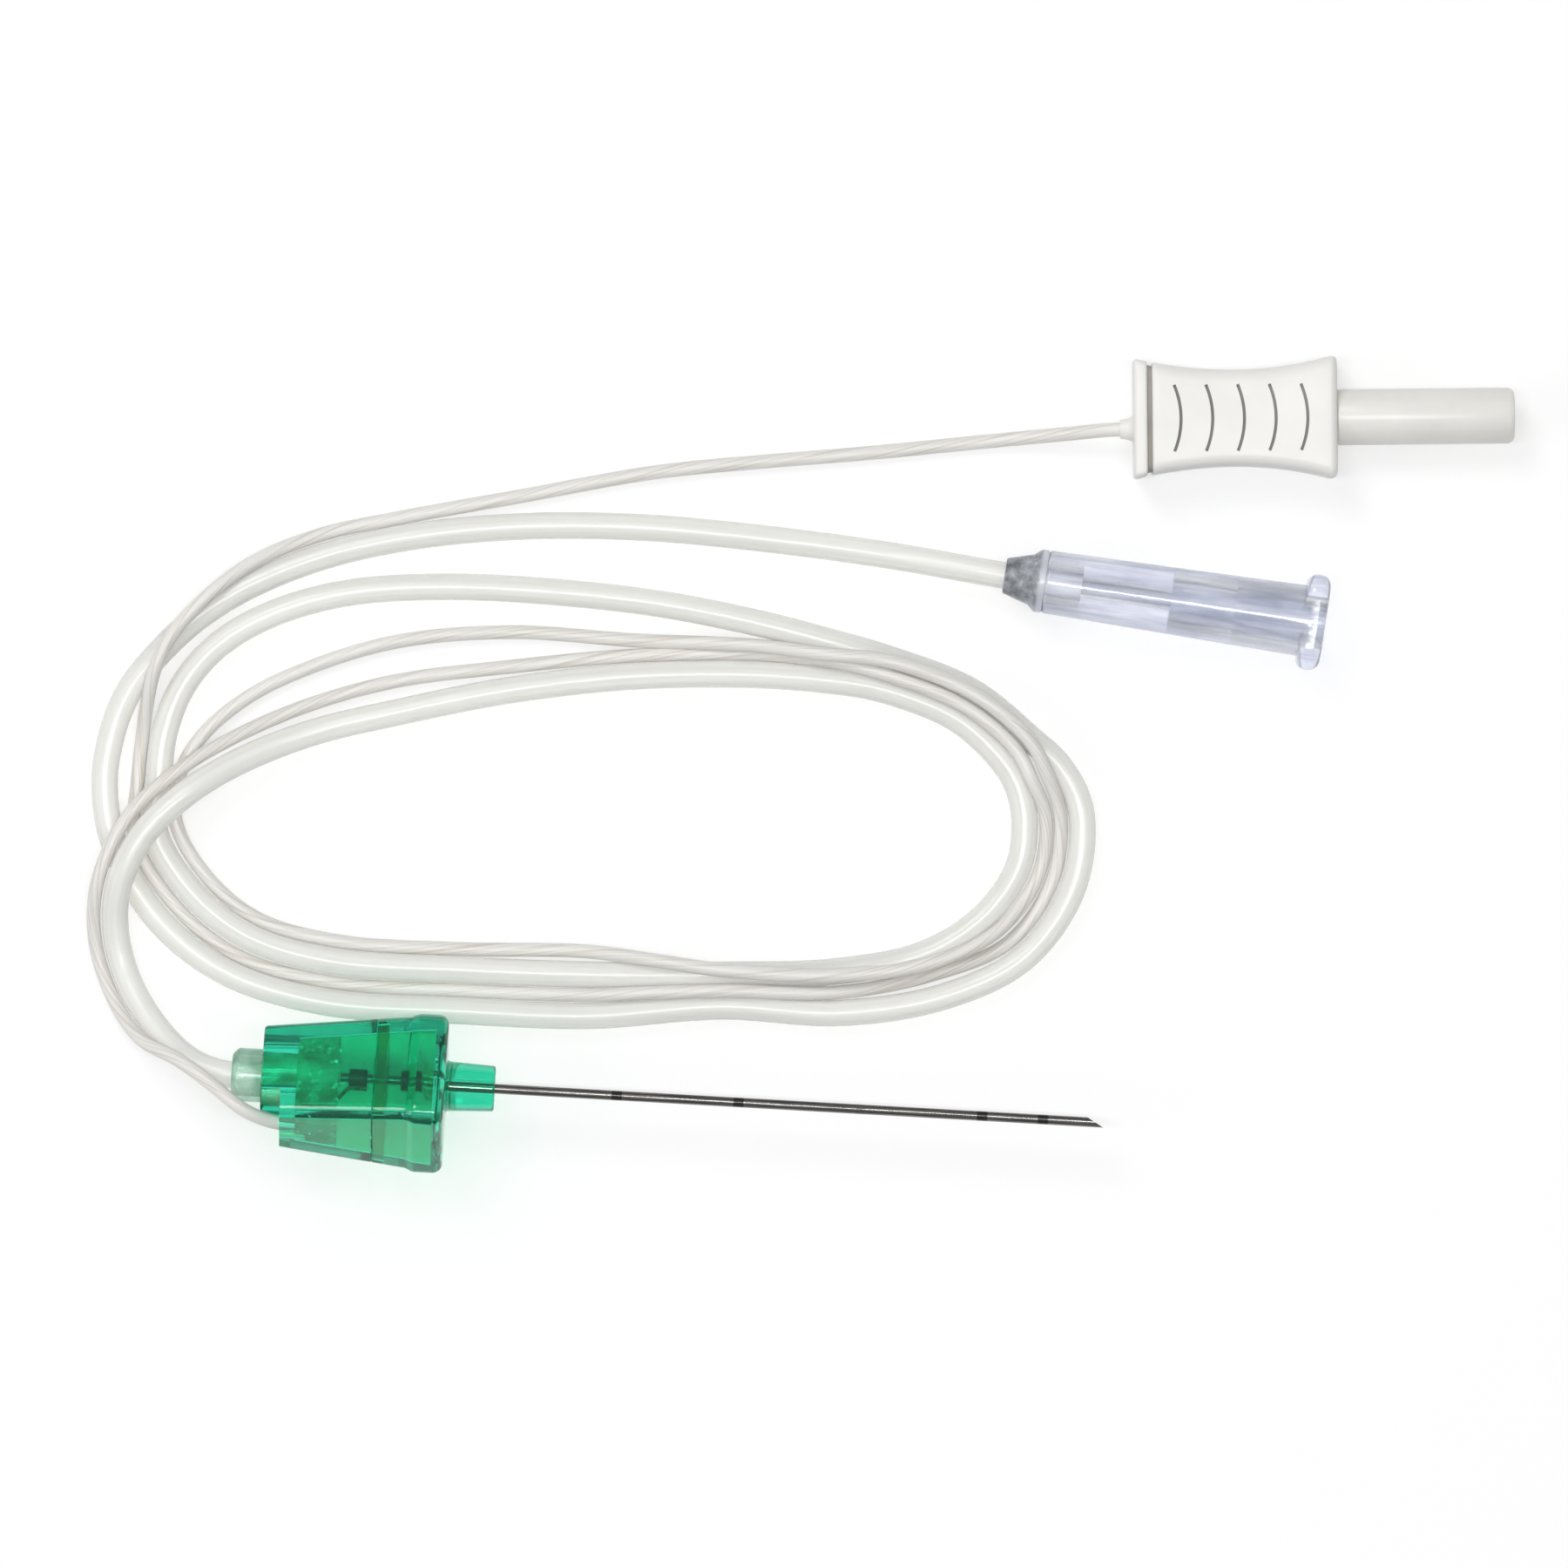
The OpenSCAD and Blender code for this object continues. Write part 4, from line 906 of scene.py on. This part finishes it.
class NEEDLE_OT_stage(bpy.types.Operator):
    """Sets the pale floor, the soft lamps and the sky"""
    bl_idname = "needle.stage"
    bl_label = "Stage"

    def execute(self, context):
        scene = context.scene
        material, tree = blank_material("white paper")
        path = put(tree, "ShaderNodeLightPath")
        seen = put(tree, "ShaderNodeMath", {0: path.outputs["Is Camera Ray"], 1: path.outputs["Is Glossy Ray"]},
                   operation="MAXIMUM").outputs[0]
        seen = put(tree, "ShaderNodeMath", {0: seen, 1: path.outputs["Is Transmission Ray"]},
                   operation="MAXIMUM").outputs[0]
        paper = put(tree, "ShaderNodeBsdfDiffuse", {"Color": (0.84, 0.84, 0.84, 1)})
        shade = put(tree, "ShaderNodeBsdfDiffuse", {"Color": (0.5, 0.5, 0.5, 1)})
        glow = put(tree, "ShaderNodeEmission", {"Color": (1, 1, 1, 1), "Strength": 0.52})
        bright = put(tree, "ShaderNodeAddShader", {0: shade.outputs[0], 1: glow.outputs[0]})
        both = put(tree, "ShaderNodeMixShader", {0: seen, 1: paper.outputs[0], 2: bright.outputs[0]})
        close_material(tree, both.outputs[0])
        mesh = bpy.data.meshes.new("floor")
        mesh.from_pydata([(-4, -4, 0), (4, -4, 0), (4, 4, 0), (-4, 4, 0)], [], [(0, 1, 2, 3)])
        mesh.materials.append(material)
        floor = as_piece("floor", mesh)
        floor.location = (0, 0, -0.02 * MM)
        middle = Vector((8 * MM, 27 * MM, 0))
        for name, place, size, power in (
            ("strip", (0.0, 0.0, 1.6), (1.0, 0.1), 9.0),
            ("key", (-0.6, 0.85, 1.35), (0.6, 0.6), 7.0),
            ("side", (-1.1, -0.2, 0.7), (0.5, 0.5), 2.0),
        ):
            lamp = bpy.data.lights.new(name, "AREA")
            lamp.shape = "RECTANGLE"
            lamp.size, lamp.size_y = size
            lamp.energy = power
            holder = bpy.data.objects.new(name, lamp)
            holder.location = place
            if name != "strip":
                holder.rotation_euler = (Vector(place) - middle).to_track_quat("Z", "Y").to_euler()
            scene.collection.objects.link(holder)
        world = bpy.data.worlds.new("studio")
        world.use_nodes = True
        sky = world.node_tree
        sky.nodes.clear()
        ray = put(sky, "ShaderNodeLightPath").outputs["Is Camera Ray"]
        way = put(sky, "ShaderNodeTexCoord").outputs["Generated"]
        height = put(sky, "ShaderNodeSeparateXYZ", {0: way}).outputs["Z"]
        level = put(sky, "ShaderNodeMapRange", {0: height, 1: 0.0, 2: 0.9, 3: 0.1, 4: 0.5}).outputs[0]
        light = put(sky, "ShaderNodeBackground", {"Color": (1, 1, 1, 1), "Strength": level})
        white = put(sky, "ShaderNodeBackground", {"Color": (1, 1, 1, 1), "Strength": 1.0})
        mixed = put(sky, "ShaderNodeMixShader", {0: ray, 1: light.outputs[0], 2: white.outputs[0]})
        put(sky, "ShaderNodeOutputWorld", {"Surface": mixed.outputs[0]})
        scene.world = world
        scene.view_settings.view_transform = "Standard"
        return {"FINISHED"}


class NEEDLE_PT_panel(bpy.types.Panel):
    """Lists the set's pieces and sizes"""
    bl_idname = "NEEDLE_PT_panel"
    bl_label = "Nerve Block Needle"
    bl_space_type = "VIEW_3D"
    bl_region_type = "UI"
    bl_category = "Needle"

    def draw(self, context):
        for group in (context.scene.needle_sizes, context.scene.needle_colours):
            for name in group.__annotations__:
                self.layout.prop(group, name)
        for step in STEPS:
            self.layout.operator(step.bl_idname)


STEPS = (
    NEEDLE_OT_camera,
    NEEDLE_OT_cords,
    NEEDLE_OT_shaft,
    NEEDLE_OT_hub,
    NEEDLE_OT_inside,
    NEEDLE_OT_connector,
    NEEDLE_OT_plug,
    NEEDLE_OT_stage,
)
CLASSES = (NeedleSizes, NeedleColours, *STEPS, NEEDLE_PT_panel)


def register():
    for item in CLASSES:
        bpy.utils.register_class(item)
    bpy.types.Scene.needle_sizes = PointerProperty(type=NeedleSizes)
    bpy.types.Scene.needle_colours = PointerProperty(type=NeedleColours)


def unregister():
    del bpy.types.Scene.needle_colours
    del bpy.types.Scene.needle_sizes
    for item in reversed(CLASSES):
        bpy.utils.unregister_class(item)


def declare_cords(scene):
    """Removes the stored lines of the two free cords from the scene."""
    for name, node, width, pieces, end in (
        ("Infusion_tube", "infusion_tube", scene.needle_sizes.tube_diameter, ["Luer_sleeve", "Luer_body"],
         "connector"),
        ("Lead", "lead_cable", scene.needle_sizes.lead_diameter, ["Grip", "Shroud", "Socket"], "plug"),
    ):
        del scene["line " + node]


def main():
    register()
    for step in STEPS:
        area, name = step.bl_idname.split(".")
        getattr(getattr(bpy.ops, area), name)()
    declare_cords(bpy.context.scene)


if __name__ == "__main__":
    main()
